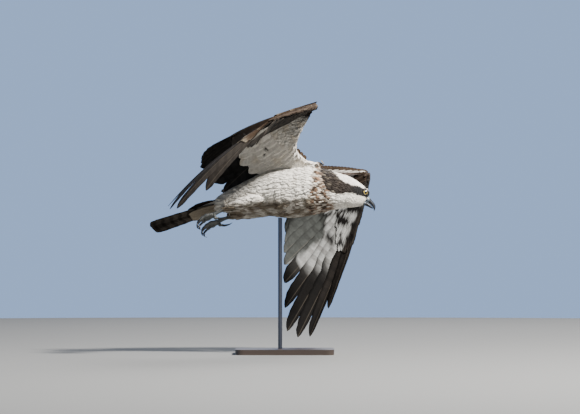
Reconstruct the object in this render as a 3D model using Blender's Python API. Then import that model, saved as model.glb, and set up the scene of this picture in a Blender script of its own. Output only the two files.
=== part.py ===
"""Osprey banking in flight, life size, held over a flat base by one rod.

The bird is drawn in its own frame: f runs forward along the body, l to its left
and u up its back, all from the point midway between the shoulders. A wing is
drawn in f, o, u, where o runs outward from the body on either side. place()
turns that frame into the room, where +Z is up and the bird heads along +X.
Sizes are in metres.
"""

import math
import random

import bpy
import bmesh
from mathutils import Vector

# How the bird lies in the air
YAW = math.radians(15.0)        # heading turned towards -Y
PITCH = math.radians(8.0)       # bill end raised
ROLL = math.radians(28.0)       # banked onto its left side
SHOULDER_X = 0.080
SHOULDER_Z = 0.479

GAP = 0.0003                    # clearance between neighbouring pieces
WELD = 0.000004                 # points closer than this are one
RING = 24                       # points round the body
RINGS_PER_STATION = 2

# Body sections from rump to bill: forward, left, up, half width, half height,
# and how far the section is turned from the body's axes to the head's
BODY = [
    (-0.262, 0.0000, -0.0530, 0.0230, 0.0230, 0.00),
    (-0.240, 0.0000, -0.0500, 0.0300, 0.0310, 0.00),
    (-0.200, 0.0000, -0.0455, 0.0410, 0.0410, 0.00),
    (-0.160, 0.0000, -0.0440, 0.0510, 0.0530, 0.00),
    (-0.120, 0.0000, -0.0445, 0.0590, 0.0640, 0.00),
    (-0.080, 0.0000, -0.0480, 0.0645, 0.0705, 0.00),
    (-0.040, 0.0000, -0.0495, 0.0660, 0.0710, 0.00),
    (0.000, 0.0000, -0.0520, 0.0640, 0.0665, 0.05),
    (0.0486, 0.0041, -0.0614, 0.0540, 0.0528, 0.30),
    (0.0745, 0.0097, -0.0671, 0.0460, 0.0470, 0.55),
    (0.0970, 0.0175, -0.0741, 0.0375, 0.0396, 0.80),
    (0.1152, 0.0250, -0.0816, 0.0275, 0.0318, 1.00),
    (0.1275, 0.0305, -0.0854, 0.0200, 0.0225, 1.00),
    (0.1330, 0.0335, -0.0880, 0.0125, 0.0150, 1.00),
]
RUMP_END = 2.0                  # station between rump and torso
TORSO_END = 8.0                 # station between torso and neck
NECK_END = 10.0                 # station between neck and head
HEAD_END = len(BODY) - 1.0

# The head's own axes in the bird's frame, and the point midway between the eyes
HEAD_AHEAD = Vector((0.739, 0.448, -0.502)).normalized()
HEAD_LEFT = Vector((-0.319, 0.890, 0.325))
EYES_AT = Vector((0.1282, 0.0229, -0.0710))
EYE_RADIUS = 0.010
EYE_SPREAD = 0.0128             # from the head's middle to an eye's centre
BILL_BASE = 0.0150              # ahead of the eyes

# Wing bones, from the shoulder joint outwards
SHOULDER_OUT = 0.050
HUMERUS = 0.145
ULNA = 0.178
MANUS = 0.125
EDGE_SAG = 0.085                # how far the skin's front edge lies behind the straight line
INNER_CHORD = Vector((-0.930, -0.330, -0.160)).normalized()
INNER_NORMAL = Vector((-0.020, -0.498, 0.867)).normalized()

# What differs between the two wings: the wrist from the shoulder joint, how far
# the elbow is raised, the line of the ninth primary, how much longer the primaries
# are than in the table, the back of the hand, the line of the outer secondary and
# how the secondaries turn from it to the inner chord
WINGS = {
    "right": {
        "side": -1.0,
        "wrist": Vector((0.070, 0.153, 0.0816)),
        "elbow_lift": math.radians(22.0),
        "hand": Vector((-0.800, 0.107, -0.600)),
        "stretch": 1.0,
        "hand_back": Vector((-0.342, 0.770, 0.526)),
        "secondary": Vector((-0.985, -0.120, 0.045)),
        "fan": 1.5,
    },
    "left": {
        "side": 1.0,
        "wrist": Vector((0.087, 0.153, 0.1000)),
        "elbow_lift": math.radians(13.0),
        "hand": Vector((-0.421, 0.251, -0.872)),
        "stretch": 1.02,
        "hand_back": Vector((-0.309, 0.864, 0.398)),
        "secondary": Vector((-0.900, -0.120, -0.420)),
        "fan": 0.7,
    },
}

# Primaries from the outermost in: angle behind the ninth, reach from the wrist
PRIMARIES = [
    (-3.2, 0.378), (0.0, 0.465), (3.4, 0.479), (7.3, 0.476), (12.0, 0.424),
    (17.5, 0.369), (22.5, 0.332), (26.3, 0.310), (30.1, 0.290), (34.0, 0.272),
]
FINGERS = 5                     # outer primaries that narrow to separate fingers
SECONDARIES = 10
TERTIALS = 5
ARM_FEATHERS = SECONDARIES + TERTIALS
FEATHERS = len(PRIMARIES) + ARM_FEATHERS
BOW = 1.20                      # bend of every flight feather, radians a metre
LAYER = 0.0013                  # each feather lies this much above its outer neighbour
VANE = 0.00055                  # thickness of a vane
WRIST_THICK = 0.0085            # half the thickness of the wing at the wrist
SHOULDER_THICK = 0.0150         # and at the shoulder
HAND_BEFORE = 0.0130            # flesh of the hand before the line of its bones
HAND_BEHIND = 0.0120            # and behind it, at the wrist
SEED = 7                        # varies the coverts
WRIST_VANE = 0.0120             # width of the last primary towards the arm
CORE_RING = 12                  # points round a wing's flesh

TAIL_LINE = Vector((-0.981, 0.0, -0.196)).normalized()
TAIL_ROOT = Vector((-0.270, 0.0, -0.0555))
TAIL_LENGTH = 0.190
RECTRICES = 6                   # on each side
TAIL_COVERTS = 4                # above, and as many below

BASE_SIZE = (0.26, 0.20, 0.014)
ROD_RADIUS = 0.0055
ROD_AT = (-0.012, 0.0)


# Placing and making meshes

def body_axes():
    ahead = Vector((math.cos(YAW) * math.cos(PITCH),
                    -math.sin(YAW) * math.cos(PITCH), math.sin(PITCH)))
    level = Vector((math.sin(YAW), math.cos(YAW), 0.0))
    above = ahead.cross(level)
    left = level * math.cos(ROLL) - above * math.sin(ROLL)
    return ahead, left, ahead.cross(left)


AHEAD, LEFT, UP = body_axes()
SHOULDERS = Vector((SHOULDER_X, 0.0, SHOULDER_Z))


def place(point):
    """A point of the bird's frame in the room."""
    return SHOULDERS + AHEAD * point[0] + LEFT * point[1] + UP * point[2]


def wing_place(side, point):
    """A point of a wing's frame in the room."""
    return place((point[0], side * point[1], point[2]))


def head_axes():
    up = HEAD_AHEAD.cross(HEAD_LEFT).normalized()
    return HEAD_AHEAD, up.cross(HEAD_AHEAD), up


def head_place(point):
    """A point of the head's frame, from midway between the eyes, in the room."""
    ahead, left, up = head_axes()
    return place(EYES_AT + ahead * point[0] + left * point[1] + up * point[2])


def spline(values, at):
    """Catmull-Rom curve through numbers or vectors, straight past both ends."""
    last = len(values) - 1
    start = min(max(int(math.floor(at)), 0), last - 1)
    t = at - start
    b, c = values[start], values[start + 1]
    if t < 0.0 or t > 1.0:
        return b + (c - b) * t
    a = values[start - 1] if start > 0 else b * 2.0 - c
    d = values[start + 2] if start + 2 <= last else c * 2.0 - b
    return (b * 2.0 + (c - a) * t + (a * 2.0 - b * 5.0 + c * 4.0 - d) * (t * t)
            + (b * 3.0 - a - c * 3.0 + d) * (t * t * t)) * 0.5


def smooth(t):
    t = min(max(t, 0.0), 1.0)
    return t * t * (3.0 - 2.0 * t)


def mix(a, b, t):
    return a + (b - a) * t


def loft(rings):
    """A closed mesh through rings of points, its caps fanned from their middles."""
    bm = bmesh.new()
    rows = [[bm.verts.new(p) for p in ring] for ring in rings]
    count = len(rows[0])
    for near, far in zip(rows, rows[1:]):
        for i in range(count):
            j = (i + 1) % count
            bm.faces.new((near[i], near[j], far[j]))
            bm.faces.new((near[i], far[j], far[i]))
    for row in (rows[0], rows[-1]):
        middle = sum((v.co for v in row), Vector()) / count
        centre = bm.verts.new(middle)
        for i in range(count):
            bm.faces.new((row[i], row[(i + 1) % count], centre))
    return finished(bm)


def finished(bm):
    """The bmesh as a mesh of triangles with its faces outwards."""
    bmesh.ops.triangulate(bm, faces=bm.faces[:])
    bmesh.ops.recalc_face_normals(bm, faces=bm.faces[:])
    if bm.calc_volume(signed=True) < 0.0:
        bmesh.ops.reverse_faces(bm, faces=bm.faces[:])
    mesh = bpy.data.meshes.new("shape")
    bm.to_mesh(mesh)
    bm.free()
    return mesh


def ellipse_ring(centre, side, up, half_width, half_height, count):
    """Points of an ellipse about centre; side and up are unit directions."""
    turn = 2.0 * math.pi / count
    return [centre + side * (half_width * math.cos(i * turn))
            + up * (half_height * math.sin(i * turn)) for i in range(count)]


def tube(path, radii, sides=8, up=Vector((0.0, 0.0, 1.0))):
    """A loft of round sections along a path of points."""
    rings = []
    for i, point in enumerate(path):
        along = path[min(i + 1, len(path) - 1)] - path[max(i - 1, 0)]
        along.normalize()
        across = along.cross(up)
        if across.length < 0.05:
            across = along.cross(Vector((1.0, 0.0, 0.0)))
        across.normalize()
        rings.append(ellipse_ring(point, across, across.cross(along), radii[i], radii[i], sides))
    return loft(rings)


# Objects, materials and Booleans

def clear_scene():
    for item in list(bpy.data.objects):
        bpy.data.objects.remove(item, do_unlink=True)
    for group in list(bpy.data.collections):
        bpy.data.collections.remove(group)


def make_collection(name):
    group = bpy.data.collections.new(name)
    bpy.context.scene.collection.children.link(group)
    return group


def material(name, colour, roughness, metallic=0.0):
    finish = bpy.data.materials.get(name)
    if finish is None:
        finish = bpy.data.materials.new(name)
        finish.use_nodes = True
        shader = finish.node_tree.nodes["Principled BSDF"]
        shader.inputs["Base Color"].default_value = (*colour, 1.0)
        shader.inputs["Roughness"].default_value = roughness
        shader.inputs["Metallic"].default_value = metallic
    return finish


def add(name, mesh, finish, group):
    item = bpy.data.objects.new(name, mesh)
    mesh.name = name
    mesh.materials.clear()
    mesh.materials.append(finish)
    group.objects.link(item)
    return item


def cutter(mesh, group):
    item = bpy.data.objects.new("cutter", mesh)
    item.hide_render = True
    item.display_type = "WIRE"
    group.objects.link(item)
    return item


def apply_boolean(item, operation, operand, solver):
    """Apply one Boolean; operand is an object or a collection of closed objects."""
    change = item.modifiers.new("change", "BOOLEAN")
    change.operation = operation
    change.solver = solver
    if isinstance(operand, bpy.types.Collection):
        change.operand_type = "COLLECTION"
        change.collection = operand
    else:
        change.object = operand
    bpy.context.view_layer.update()
    graph = bpy.context.evaluated_depsgraph_get()
    mesh = bpy.data.meshes.new_from_object(item.evaluated_get(graph))
    item.modifiers.clear()
    old = item.data
    mesh.name = old.name
    item.data = mesh
    bpy.data.meshes.remove(old)


def keep_largest(item):
    """Keep only the largest closed surface of the object."""
    bm = bmesh.new()
    bm.from_mesh(item.data)
    bm.verts.ensure_lookup_table()
    seen = set()
    best = []
    best_size = -1.0
    for first in bm.verts:
        if first.index in seen:
            continue
        island = [first]
        seen.add(first.index)
        for vertex in island:
            for edge in vertex.link_edges:
                other = edge.other_vert(vertex)
                if other.index not in seen:
                    seen.add(other.index)
                    island.append(other)
        size = sum(face.calc_area() for vertex in island for face in vertex.link_faces)
        if size > best_size:
            best, best_size = island, size
    kept = set(best)
    bmesh.ops.delete(bm, geom=[v for v in bm.verts if v not in kept], context="VERTS")
    bmesh.ops.remove_doubles(bm, verts=bm.verts[:], dist=WELD)
    bmesh.ops.triangulate(bm, faces=bm.faces[:])
    bm.to_mesh(item.data)
    bm.free()


def fuse(item, meshes, scrap):
    """Join closed meshes into the object as one body."""
    for mesh in meshes:
        scrap.objects.link(bpy.data.objects.new("piece", mesh))
    apply_boolean(item, "UNION", scrap, "MANIFOLD")
    for piece in list(scrap.objects):
        bpy.data.objects.remove(piece, do_unlink=True)
    keep_largest(item)


def cut(item, mesh, cutters):
    """Take a closed mesh out of the object."""
    tool = cutter(mesh, cutters)
    apply_boolean(item, "DIFFERENCE", tool, "MANIFOLD")
    bpy.data.objects.remove(tool, do_unlink=True)
    keep_largest(item)


# Body: one spine of sections, parted by thin cuts

def body_section(at, grow=0.0, shift=0.0):
    """The ring of the body at a station, grown outwards and shifted along."""
    forward, left, up, wide, high, turned = (
        spline([row[i] for row in BODY], at) for i in range(6))
    head_ahead, head_left, head_up = head_axes()
    ahead = mix(Vector((1.0, 0.0, 0.0)), head_ahead, turned).normalized()
    side = mix(Vector((0.0, 1.0, 0.0)), head_left, turned)
    side = (side - ahead * side.dot(ahead)).normalized()
    above = ahead.cross(side)
    centre = Vector((forward, left, up)) + ahead * shift
    ring = ellipse_ring(centre, side, above, wide + grow, high + grow, RING)
    return [place(p) for p in ring]


def body_loft(start, end, grow=0.0, first_shift=0.0, last_shift=0.0):
    steps = max(int(round((end - start) * RINGS_PER_STATION)), 1)
    rings = []
    for i in range(steps + 1):
        shift = first_shift if i == 0 else last_shift if i == steps else 0.0
        rings.append(body_section(mix(start, end, i / steps), grow, shift))
    return loft(rings)


def make_body(model):
    white = material("plumage_white", (0.72, 0.70, 0.66), 0.8)
    add("rump", body_loft(0.0, RUMP_END), white, model)
    add("torso", body_loft(RUMP_END, TORSO_END, first_shift=GAP), white, model)
    add("neck", body_loft(TORSO_END, NECK_END, first_shift=GAP), white, model)


# Head: eyes in sockets with lids under a brow, hooked bill in two halves

def eye_centre(side):
    return Vector((0.0, side * EYE_SPREAD, 0.0))


def sphere(centre, radius, segments=14, rings=8):
    bm = bmesh.new()
    bmesh.ops.create_uvsphere(bm, u_segments=segments, v_segments=rings, radius=radius)
    bmesh.ops.translate(bm, verts=bm.verts[:], vec=centre)
    return finished(bm)


def lid_ring(side):
    """A soft rim round an eye, thick above where the brow hangs over it."""
    around = 14
    rings = []
    for i in range(around):
        angle = 2.0 * math.pi * i / around
        out = Vector((math.cos(angle), 0.0, math.sin(angle)))
        thick = 0.0014 + 0.0007 * max(math.sin(angle), 0.0)
        centre = eye_centre(side) + out * 0.0076 + Vector((0.0, side * 0.0066, 0.0))
        across = Vector((0.0, side, 0.0))
        rings.append([head_place(p) for p in ellipse_ring(centre, out, across, thick, 0.0022, 6)])
    bm = bmesh.new()
    rows = [[bm.verts.new(p) for p in ring] for ring in rings]
    for i in range(around):
        near, far = rows[i], rows[(i + 1) % around]
        for j in range(6):
            k = (j + 1) % 6
            bm.faces.new((near[j], near[k], far[k], far[j]))
    return finished(bm)


def brow(side):
    """The ridge that shades the eye, from the cere back over the lid."""
    path = []
    radii = []
    for i in range(6):
        t = i / 5.0
        path.append(head_place(Vector((mix(0.0150, -0.0120, t),
                                       side * mix(0.0105, 0.0185, t),
                                       0.0062 + 0.0032 * math.sin(math.pi * t)))))
        radii.append(0.0016 + 0.0016 * math.sin(math.pi * t))
    return tube(path, radii, sides=6)


# Bill sections: ahead of the eyes, top, bottom, half width
UPPER_BILL = [
    (0.0150, -0.0010, -0.0165, 0.0088),
    (0.0200, -0.0018, -0.0160, 0.0082),
    (0.0255, -0.0040, -0.0156, 0.0070),
    (0.0320, -0.0062, -0.0166, 0.0058),
    (0.0385, -0.0084, -0.0190, 0.0045),
    (0.0435, -0.0118, -0.0218, 0.0033),
]
HOOK = [
    (0.0465, -0.0195, 0.0030),
    (0.0478, -0.0240, 0.0020),
    (0.0474, -0.0285, 0.0009),
]
LOWER_BILL = [
    (0.0150, -0.0172, -0.0275, 0.0072),
    (0.0220, -0.0164, -0.0258, 0.0062),
    (0.0300, -0.0170, -0.0245, 0.0050),
    (0.0370, -0.0192, -0.0236, 0.0034),
    (0.0410, -0.0208, -0.0228, 0.0018),
]


def bill_ring(ahead, top, bottom, half_width, sides=12):
    centre = Vector((ahead, 0.0, (top + bottom) / 2.0))
    ring = ellipse_ring(centre, Vector((0.0, 1.0, 0.0)), Vector((0.0, 0.0, 1.0)),
                        half_width, (top - bottom) / 2.0, sides)
    return [head_place(p) for p in ring]


def upper_bill():
    rings = [bill_ring(*row) for row in UPPER_BILL]
    slope = Vector((0.55, 0.0, 0.83)).normalized()
    for ahead, up, half in HOOK:
        ring = ellipse_ring(Vector((ahead, 0.0, up)), Vector((0.0, 1.0, 0.0)), slope,
                            half * 0.8, half, 12)
        rings.append([head_place(p) for p in ring])
        slope = Vector((0.95, 0.0, 0.1)).normalized()
    return loft(rings)


def make_head(model, cutters, scrap):
    white = material("plumage_white", (0.72, 0.70, 0.66), 0.8)
    horn = material("bill_horn", (0.035, 0.036, 0.04), 0.35)
    iris = material("eye", (0.75, 0.52, 0.05), 0.08)
    upper = add("bill_upper", upper_bill(), horn, model)
    lower = add("bill_lower", loft([bill_ring(*row) for row in LOWER_BILL]), horn, model)
    head = add("head", body_loft(NECK_END, HEAD_END, first_shift=GAP), white, model)
    fuse(head, [brow(1.0), brow(-1.0), lid_ring(1.0), lid_ring(-1.0)], scrap)
    for side, name in ((1.0, "left"), (-1.0, "right")):
        centre = head_place(eye_centre(side))
        cut(head, sphere(centre, EYE_RADIUS + GAP), cutters)
        add("eye_" + name, sphere(centre, EYE_RADIUS), iris, model)
        nostril = sphere(head_place(Vector((0.0225, side * 0.0078, -0.0062))), 0.0013, 8, 6)
        cut(upper, nostril, cutters)
        gape = [head_place(Vector((0.0100, side * 0.0230, -0.0215))),
                head_place(Vector((0.0175, side * 0.0150, -0.0175)))]
        cut(head, tube(gape, [0.0010, 0.0010], sides=6), cutters)
    bm = bmesh.new()
    bmesh.ops.create_cube(bm, size=1.0)
    for vertex in bm.verts:
        vertex.co = head_place(Vector((BILL_BASE - GAP + 0.03 * (vertex.co.x + 0.5),
                                       0.08 * vertex.co.y, -0.02 + 0.08 * vertex.co.z)))
    cut(head, finished(bm), cutters)


# Wings: feathers laid along one smooth surface, rooted in the arm and the hand

class Wing:
    """The lie of one wing, with feathers numbered from the outermost inwards."""

    def __init__(self, shape):
        self.side = shape["side"]
        self.hand = shape["hand"].normalized()
        back = shape["hand_back"]
        self.hand_back = (back - self.hand * back.dot(self.hand)).normalized()
        self.shoulder = Vector((0.0, SHOULDER_OUT, 0.0))
        self.wrist = self.shoulder + shape["wrist"]
        self.elbow = self.find_elbow(shape["elbow_lift"])
        self.set_feathers(shape["secondary"].normalized(), shape["fan"], shape["stretch"])

    def find_elbow(self, lift):
        """Where humerus and ulna meet, on the trailing side of shoulder and wrist."""
        reach = self.wrist - self.shoulder
        span = reach.length
        along = reach / span
        foot = (HUMERUS ** 2 - ULNA ** 2 + span ** 2) / (2.0 * span)
        behind = (INNER_CHORD - along * INNER_CHORD.dot(along)).normalized()
        behind = behind * math.cos(lift) + along.cross(behind) * math.sin(lift)
        return self.shoulder + along * foot + behind * math.sqrt(HUMERUS ** 2 - foot ** 2)

    def set_feathers(self, secondary, fan, stretch):
        across = self.hand_back.cross(self.hand)
        knuckles = math.radians(-11.0)
        manus = self.hand * math.cos(knuckles) + across * math.sin(knuckles)
        self.manus = (manus + self.hand_back * 0.38).normalized()
        self.roots = []
        self.lines = []
        self.normals = []
        self.lengths = []
        count = len(PRIMARIES)
        for i, (angle, reach) in enumerate(PRIMARIES):
            turn = math.radians(angle)
            tip = self.wrist + (self.hand * math.cos(turn) + across * math.sin(turn)) * (reach * stretch)
            root = self.wrist + self.manus * mix(MANUS, 0.008, i / (count - 1.0))
            length = (tip - root).length
            chord = (tip - root) / length
            lift = BOW * length / 2.0
            normal = self.blend_normal(i)
            normal = (normal - chord * normal.dot(chord)).normalized()
            self.roots.append(root)
            self.lines.append(chord * math.cos(lift) + normal * math.sin(lift))
            self.normals.append(normal * math.cos(lift) - chord * math.sin(lift))
            self.lengths.append(length)
        tertial = Vector((-0.850, -0.420, -0.320)).normalized()
        for i in range(ARM_FEATHERS):
            if i < SECONDARIES:
                t = i / (SECONDARIES - 1.0)
                root = mix(self.wrist, self.elbow, mix(0.05, 0.97, t))
                line = mix(secondary, INNER_CHORD, t ** fan).normalized()
                length = 0.245 + 0.024 * math.sin(math.pi * t) - 0.015 * t
            else:
                t = (i - SECONDARIES + 1.0) / TERTIALS
                root = mix(self.elbow, self.shoulder, 0.80 * t)
                line = mix(INNER_CHORD, tertial, min(2.2 * t, 1.0)).normalized()
                length = mix(0.236, 0.200, t)
            normal = self.blend_normal(count + i)
            normal = (normal - line * normal.dot(line)).normalized()
            self.roots.append(root)
            self.lines.append(line)
            self.normals.append(normal)
            self.lengths.append(length)

    def blend_normal(self, index):
        """The back of the wing, from the hand's tilt to the arm's."""
        share = [0.0, 0.0, 0.0, 0.0, 0.0, 0.0, 0.06, 0.14, 0.22, 0.28,
                 0.28, 0.42, 0.58, 0.72, 0.84, 0.93, 1.0]
        return mix(self.hand_back, INNER_NORMAL, share[min(index, len(share) - 1)]).normalized()

    def length_at(self, index):
        return spline(self.lengths, index)

    def frame(self, index, along):
        """Point, direction and normal of the wing at a distance along a feather."""
        root = spline(self.roots, index)
        line = spline(self.lines, index).normalized()
        normal = spline(self.normals, index)
        normal = (normal - line * normal.dot(line)).normalized()
        turn = BOW * along
        point = root + line * (math.sin(turn) / BOW) - normal * ((1.0 - math.cos(turn)) / BOW)
        return (point, line * math.cos(turn) - normal * math.sin(turn),
                normal * math.cos(turn) + line * math.sin(turn))

    def vane(self, index, length, lead, trail, lift, rows):
        """One feather on the wing's surface; its inner vane dips under the next feather.

        The rows hold place along it, shares of both widths and share of thickness."""
        top = []
        under = []
        for where, lead_share, trail_share, thick_share in rows:
            along = where * length
            pitch = (self.frame(index + 0.5, along)[0] - self.frame(index - 0.5, along)[0]).length
            for offset in (-lead * lead_share, 0.0, trail * trail_share):
                shift = offset / pitch
                spot, line, normal = self.frame(index + shift, along)
                middle = spot + normal * (lift - LAYER * shift)
                half = VANE * thick_share / 2.0 * (1.0 if offset == 0.0 else 0.85)
                top.append(wing_place(self.side, middle + normal * half))
                under.append(wing_place(self.side, middle - normal * half))
        return plate(top, under, len(rows), 3)


def plate(top, under, rows, columns):
    """A thin closed slab between two grids, split alike on both faces."""
    bm = bmesh.new()
    upper = [bm.verts.new(p) for p in top]
    lower = [bm.verts.new(p) for p in under]

    def quad(a, b, c, d):
        bm.faces.new((a, b, c))
        bm.faces.new((a, c, d))

    for i in range(rows - 1):
        for j in range(columns - 1):
            a = i * columns + j
            b, c, d = a + 1, a + columns + 1, a + columns
            quad(upper[a], upper[b], upper[c], upper[d])
            bm.faces.new((lower[a], lower[c], lower[b]))
            bm.faces.new((lower[a], lower[d], lower[c]))
        left, right = i * columns, i * columns + columns - 1
        quad(lower[left], upper[left], upper[left + columns], lower[left + columns])
        quad(upper[right], lower[right], lower[right + columns], upper[right + columns])
    last = (rows - 1) * columns
    for j in range(columns - 1):
        quad(upper[j], lower[j], lower[j + 1], upper[j + 1])
        quad(lower[last + j], upper[last + j], upper[last + j + 1], lower[last + j + 1])
    return finished(bm)


# Rows of a feather: place along it, share of the leading and trailing vane, thickness
FINGER_ROWS = [
    (0.00, 0.40, 0.30, 1.5), (0.15, 0.80, 0.65, 1.3), (0.42, 1.00, 1.00, 1.1),
    (0.56, 0.76, 0.80, 1.0), (0.84, 0.62, 0.70, 1.0), (1.00, 0.16, 0.10, 0.8),
]
FLIGHT_ROWS = [
    (0.00, 0.60, 0.50, 1.5), (0.20, 0.95, 0.90, 1.2), (0.75, 1.00, 1.00, 1.0),
    (0.93, 0.75, 0.80, 1.0), (1.00, 0.25, 0.30, 0.9),
]
COVERT_ROWS = [(0.00, 0.45, 0.40, 1.6), (0.62, 1.00, 1.00, 1.0), (1.00, 0.38, 0.34, 0.9)]

# Tiers of coverts on a wing: first and last feather they lie between, how many,
# share of the feather's length, height over the flight feathers
HAND_TIERS = [(2.0, 9.0, 5, 0.33, 0.0028)]


def core_ring(wing, front, back, normal, thick):
    """A flat rounded section between a front and a back edge, fuller in front."""
    chord = back - front
    width = chord.length
    chord.normalize()
    above = (normal - chord * normal.dot(chord)).normalized()
    ring = []
    for j in range(CORE_RING):
        angle = 2.0 * math.pi * j / CORE_RING
        where = 0.5 - 0.5 * math.cos(angle)
        height = thick * math.sin(angle) * (1.0 - 0.3 * where)
        ring.append(wing_place(wing.side, front + chord * (width * where) + above * height))
    return ring


def wrist_ring(wing, grow=0.0):
    """The section where the hand begins."""
    across = wing.hand_back.cross(wing.manus)
    centre = spline(wing.roots, len(PRIMARIES) - 0.5) + wing.manus * (GAP - 2.0 * grow)
    front = centre - across * (HAND_BEFORE + grow)
    back = centre + across * (HAND_BEHIND + grow)
    return core_ring(wing, front, back, wing.blend_normal(len(PRIMARIES)), WRIST_THICK + grow)


def hand_core(wing, grow=0.0):
    """The flesh of the hand: a flat tapered bar along the roots of the primaries."""
    rings = [wrist_ring(wing, grow)]
    steps = 7
    across = wing.hand_back.cross(wing.manus)
    for i in range(1, steps + 1):
        t = i / steps
        centre = spline(wing.roots, mix(len(PRIMARIES) - 0.5, -2.2, t))
        front = centre - across * (mix(HAND_BEFORE, 0.0030, t ** 1.5) + grow)
        back = centre + across * (mix(0.0150, 0.0040, t ** 1.5) + grow)
        thick = mix(WRIST_THICK, 0.0022, t) + grow
        rings.append(core_ring(wing, front, back, wing.hand_back, thick))
    return loft(rings)


# Columns of the arm's sheet: places from its front edge to the back of the flesh,
# then from there along the feathers to their tips
FLESH_PLACES = (0.0, 0.067, 0.25, 0.5, 0.75, 0.933)
VANE_PLACES = (0.0, 0.10, 0.22, 0.34, 0.48, 0.64, 0.80, 0.93, 1.0)
ARM_ROWS = 24
ARM_SMOOTHING = 4
ARM_INNER = 25.3                # where the sheet meets the body, counted in feathers
ARM_OUTER = 11.0                # and where it ends behind the hand's last feather
SHEET_HALF = 0.0006             # half the thickness of the sheet along its edges
COVERT_RISE = 0.0026            # of the coverts above the flight feathers
FRONT_SKIN = 0.022              # least width of the flesh behind the front edge
FLATNESS = 0.15                 # most half thickness of the flesh for its width
SCAPULAR = 0.2                  # share of the arm's span that lies along the shoulder


def arm_rows(wing):
    """Middle points and half thicknesses of the arm's sheet, from shoulder to wrist."""
    across = wing.hand_back.cross(wing.manus)
    wrist = len(PRIMARIES) - 0.5
    inner_front = wing.shoulder + Vector((0.044, -0.012, -0.004))
    outer_front = spline(wing.roots, wrist) - across * HAND_BEFORE
    points = []
    halves = []
    for i in range(ARM_ROWS + 1):
        t = i / ARM_ROWS
        index = bone = mix(ARM_INNER, FEATHERS - 1.0, t / SCAPULAR)
        if t > SCAPULAR:
            outward = (t - SCAPULAR) / (1.0 - SCAPULAR)
            index = mix(FEATHERS - 1.0, ARM_OUTER, outward)
            bone = mix(FEATHERS - 1.0, wrist, outward)
        front = mix(inner_front, outer_front, t) + INNER_CHORD * (EDGE_SAG * math.sin(math.pi * t))
        root, line = wing.frame(bone, 0.0)[:2]
        start = max(mix(0.018, 0.012, t), (front - root).dot(line) + FRONT_SKIN)
        back = wing.frame(bone, start)[0]
        if i == ARM_ROWS:
            back = root + across * HAND_BEHIND
        thick = min(mix(SHOULDER_THICK, WRIST_THICK, t), FLATNESS * (back - front).length)
        length = wing.length_at(index)
        row = [mix(front, back, where) for where in FLESH_PLACES + (1.0,)]
        row += [wing.frame(index, mix(start, length, where))[0] for where in VANE_PLACES[1:]]
        half = [max(thick * 2.0 * math.sqrt(where * (1.0 - where)) * (1.0 - 0.3 * where), SHEET_HALF)
                for where in FLESH_PLACES]
        rise = COVERT_RISE * smooth((index - 10.4) / 1.6)
        half += [SHEET_HALF + 0.5 * rise * (1.0 - smooth((where - 0.22) / 0.26))
                 for where in VANE_PLACES]
        points.append(row)
        halves.append(half)
    for _ in range(ARM_SMOOTHING):
        points = [[mix(here, mix(before, after, 0.5), 0.5) for before, here, after in zip(*near)]
                  for near in zip(points[:1] + points[:-1], points, points[1:] + points[-1:])]
        points = [[mix(here, mix(before, after, 0.5), 0.5)
                   for before, here, after in zip(row[:1] + row[:-1], row, row[1:] + row[-1:])]
                  for row in points]
    return points, halves


def arm_sheet(wing):
    """The arm, the skin before it and its feathers as one smooth form out to their tips."""
    points, halves = arm_rows(wing)
    last_row = len(points) - 1
    last_column = len(points[0]) - 1
    top = []
    under = []
    for i, row in enumerate(points):
        for j, point in enumerate(row):
            spanwise = points[min(i + 1, last_row)][j] - points[max(i - 1, 0)][j]
            chordwise = row[min(j + 1, last_column)] - row[max(j - 1, 0)]
            above = spanwise.cross(chordwise).normalized()
            top.append(wing_place(wing.side, point + above * halves[i][j]))
            under.append(wing_place(wing.side, point - above * halves[i][j]))
    return plate(top, under, len(points), len(points[0]))


def flight_feathers(wing):
    """The primaries, each a tapered vane."""
    pieces = []
    for i in range(len(PRIMARIES)):
        lead, trail, rows = 0.0090, 0.0200, FLIGHT_ROWS
        if i < FINGERS:
            lead, trail, rows = 0.0155, 0.0330, FINGER_ROWS
        if i == len(PRIMARIES) - 1:
            trail = WRIST_VANE
        pieces.append(wing.vane(i, wing.lengths[i], lead, trail, 0.0, rows))
    return pieces


def coverts(wing, tiers, rng):
    """Tiers of coverts that lie over and under the flight feathers."""
    pieces = []
    for first, last, count, share, lift in tiers:
        for i in range(count):
            index = mix(first, last, i / (count - 1.0))
            length = wing.length_at(index) * share * rng.uniform(0.94, 1.06)
            pieces.append(wing.vane(index, length, 0.0110, 0.0160, lift, COVERT_ROWS))
    return pieces


def make_wing(name, model, cutters, scrap):
    brown = material("plumage_brown", (0.09, 0.065, 0.045), 0.75)
    wing = Wing(WINGS[name])
    rng = random.Random(SEED)
    hand = add("wing_%s_hand" % name, hand_core(wing), brown, model)
    fuse(hand, flight_feathers(wing) + coverts(wing, HAND_TIERS, rng), scrap)
    arm = add("wing_%s_arm" % name, arm_sheet(wing), brown, model)
    cut(arm, hand_core(wing, grow=2.0 * GAP), cutters)
    cut(arm, body_loft(0.0, NECK_END, grow=GAP), cutters)


# Tail: a short fleshy root and two halves of overlapping feathers

def tail_core():
    rings = [body_section(0.0, shift=-GAP)]
    for forward, up, wide, high in ((-0.285, -0.0578, 0.0195, 0.0150),
                                    (-0.305, -0.0622, 0.0165, 0.0090),
                                    (-0.320, -0.0655, 0.0140, 0.0050)):
        ring = ellipse_ring(Vector((forward, 0.0, up)), Vector((0.0, 1.0, 0.0)),
                            Vector((0.0, 0.0, 1.0)), wide, high, RING)
        rings.append([place(p) for p in ring])
    return loft(rings)


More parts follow.
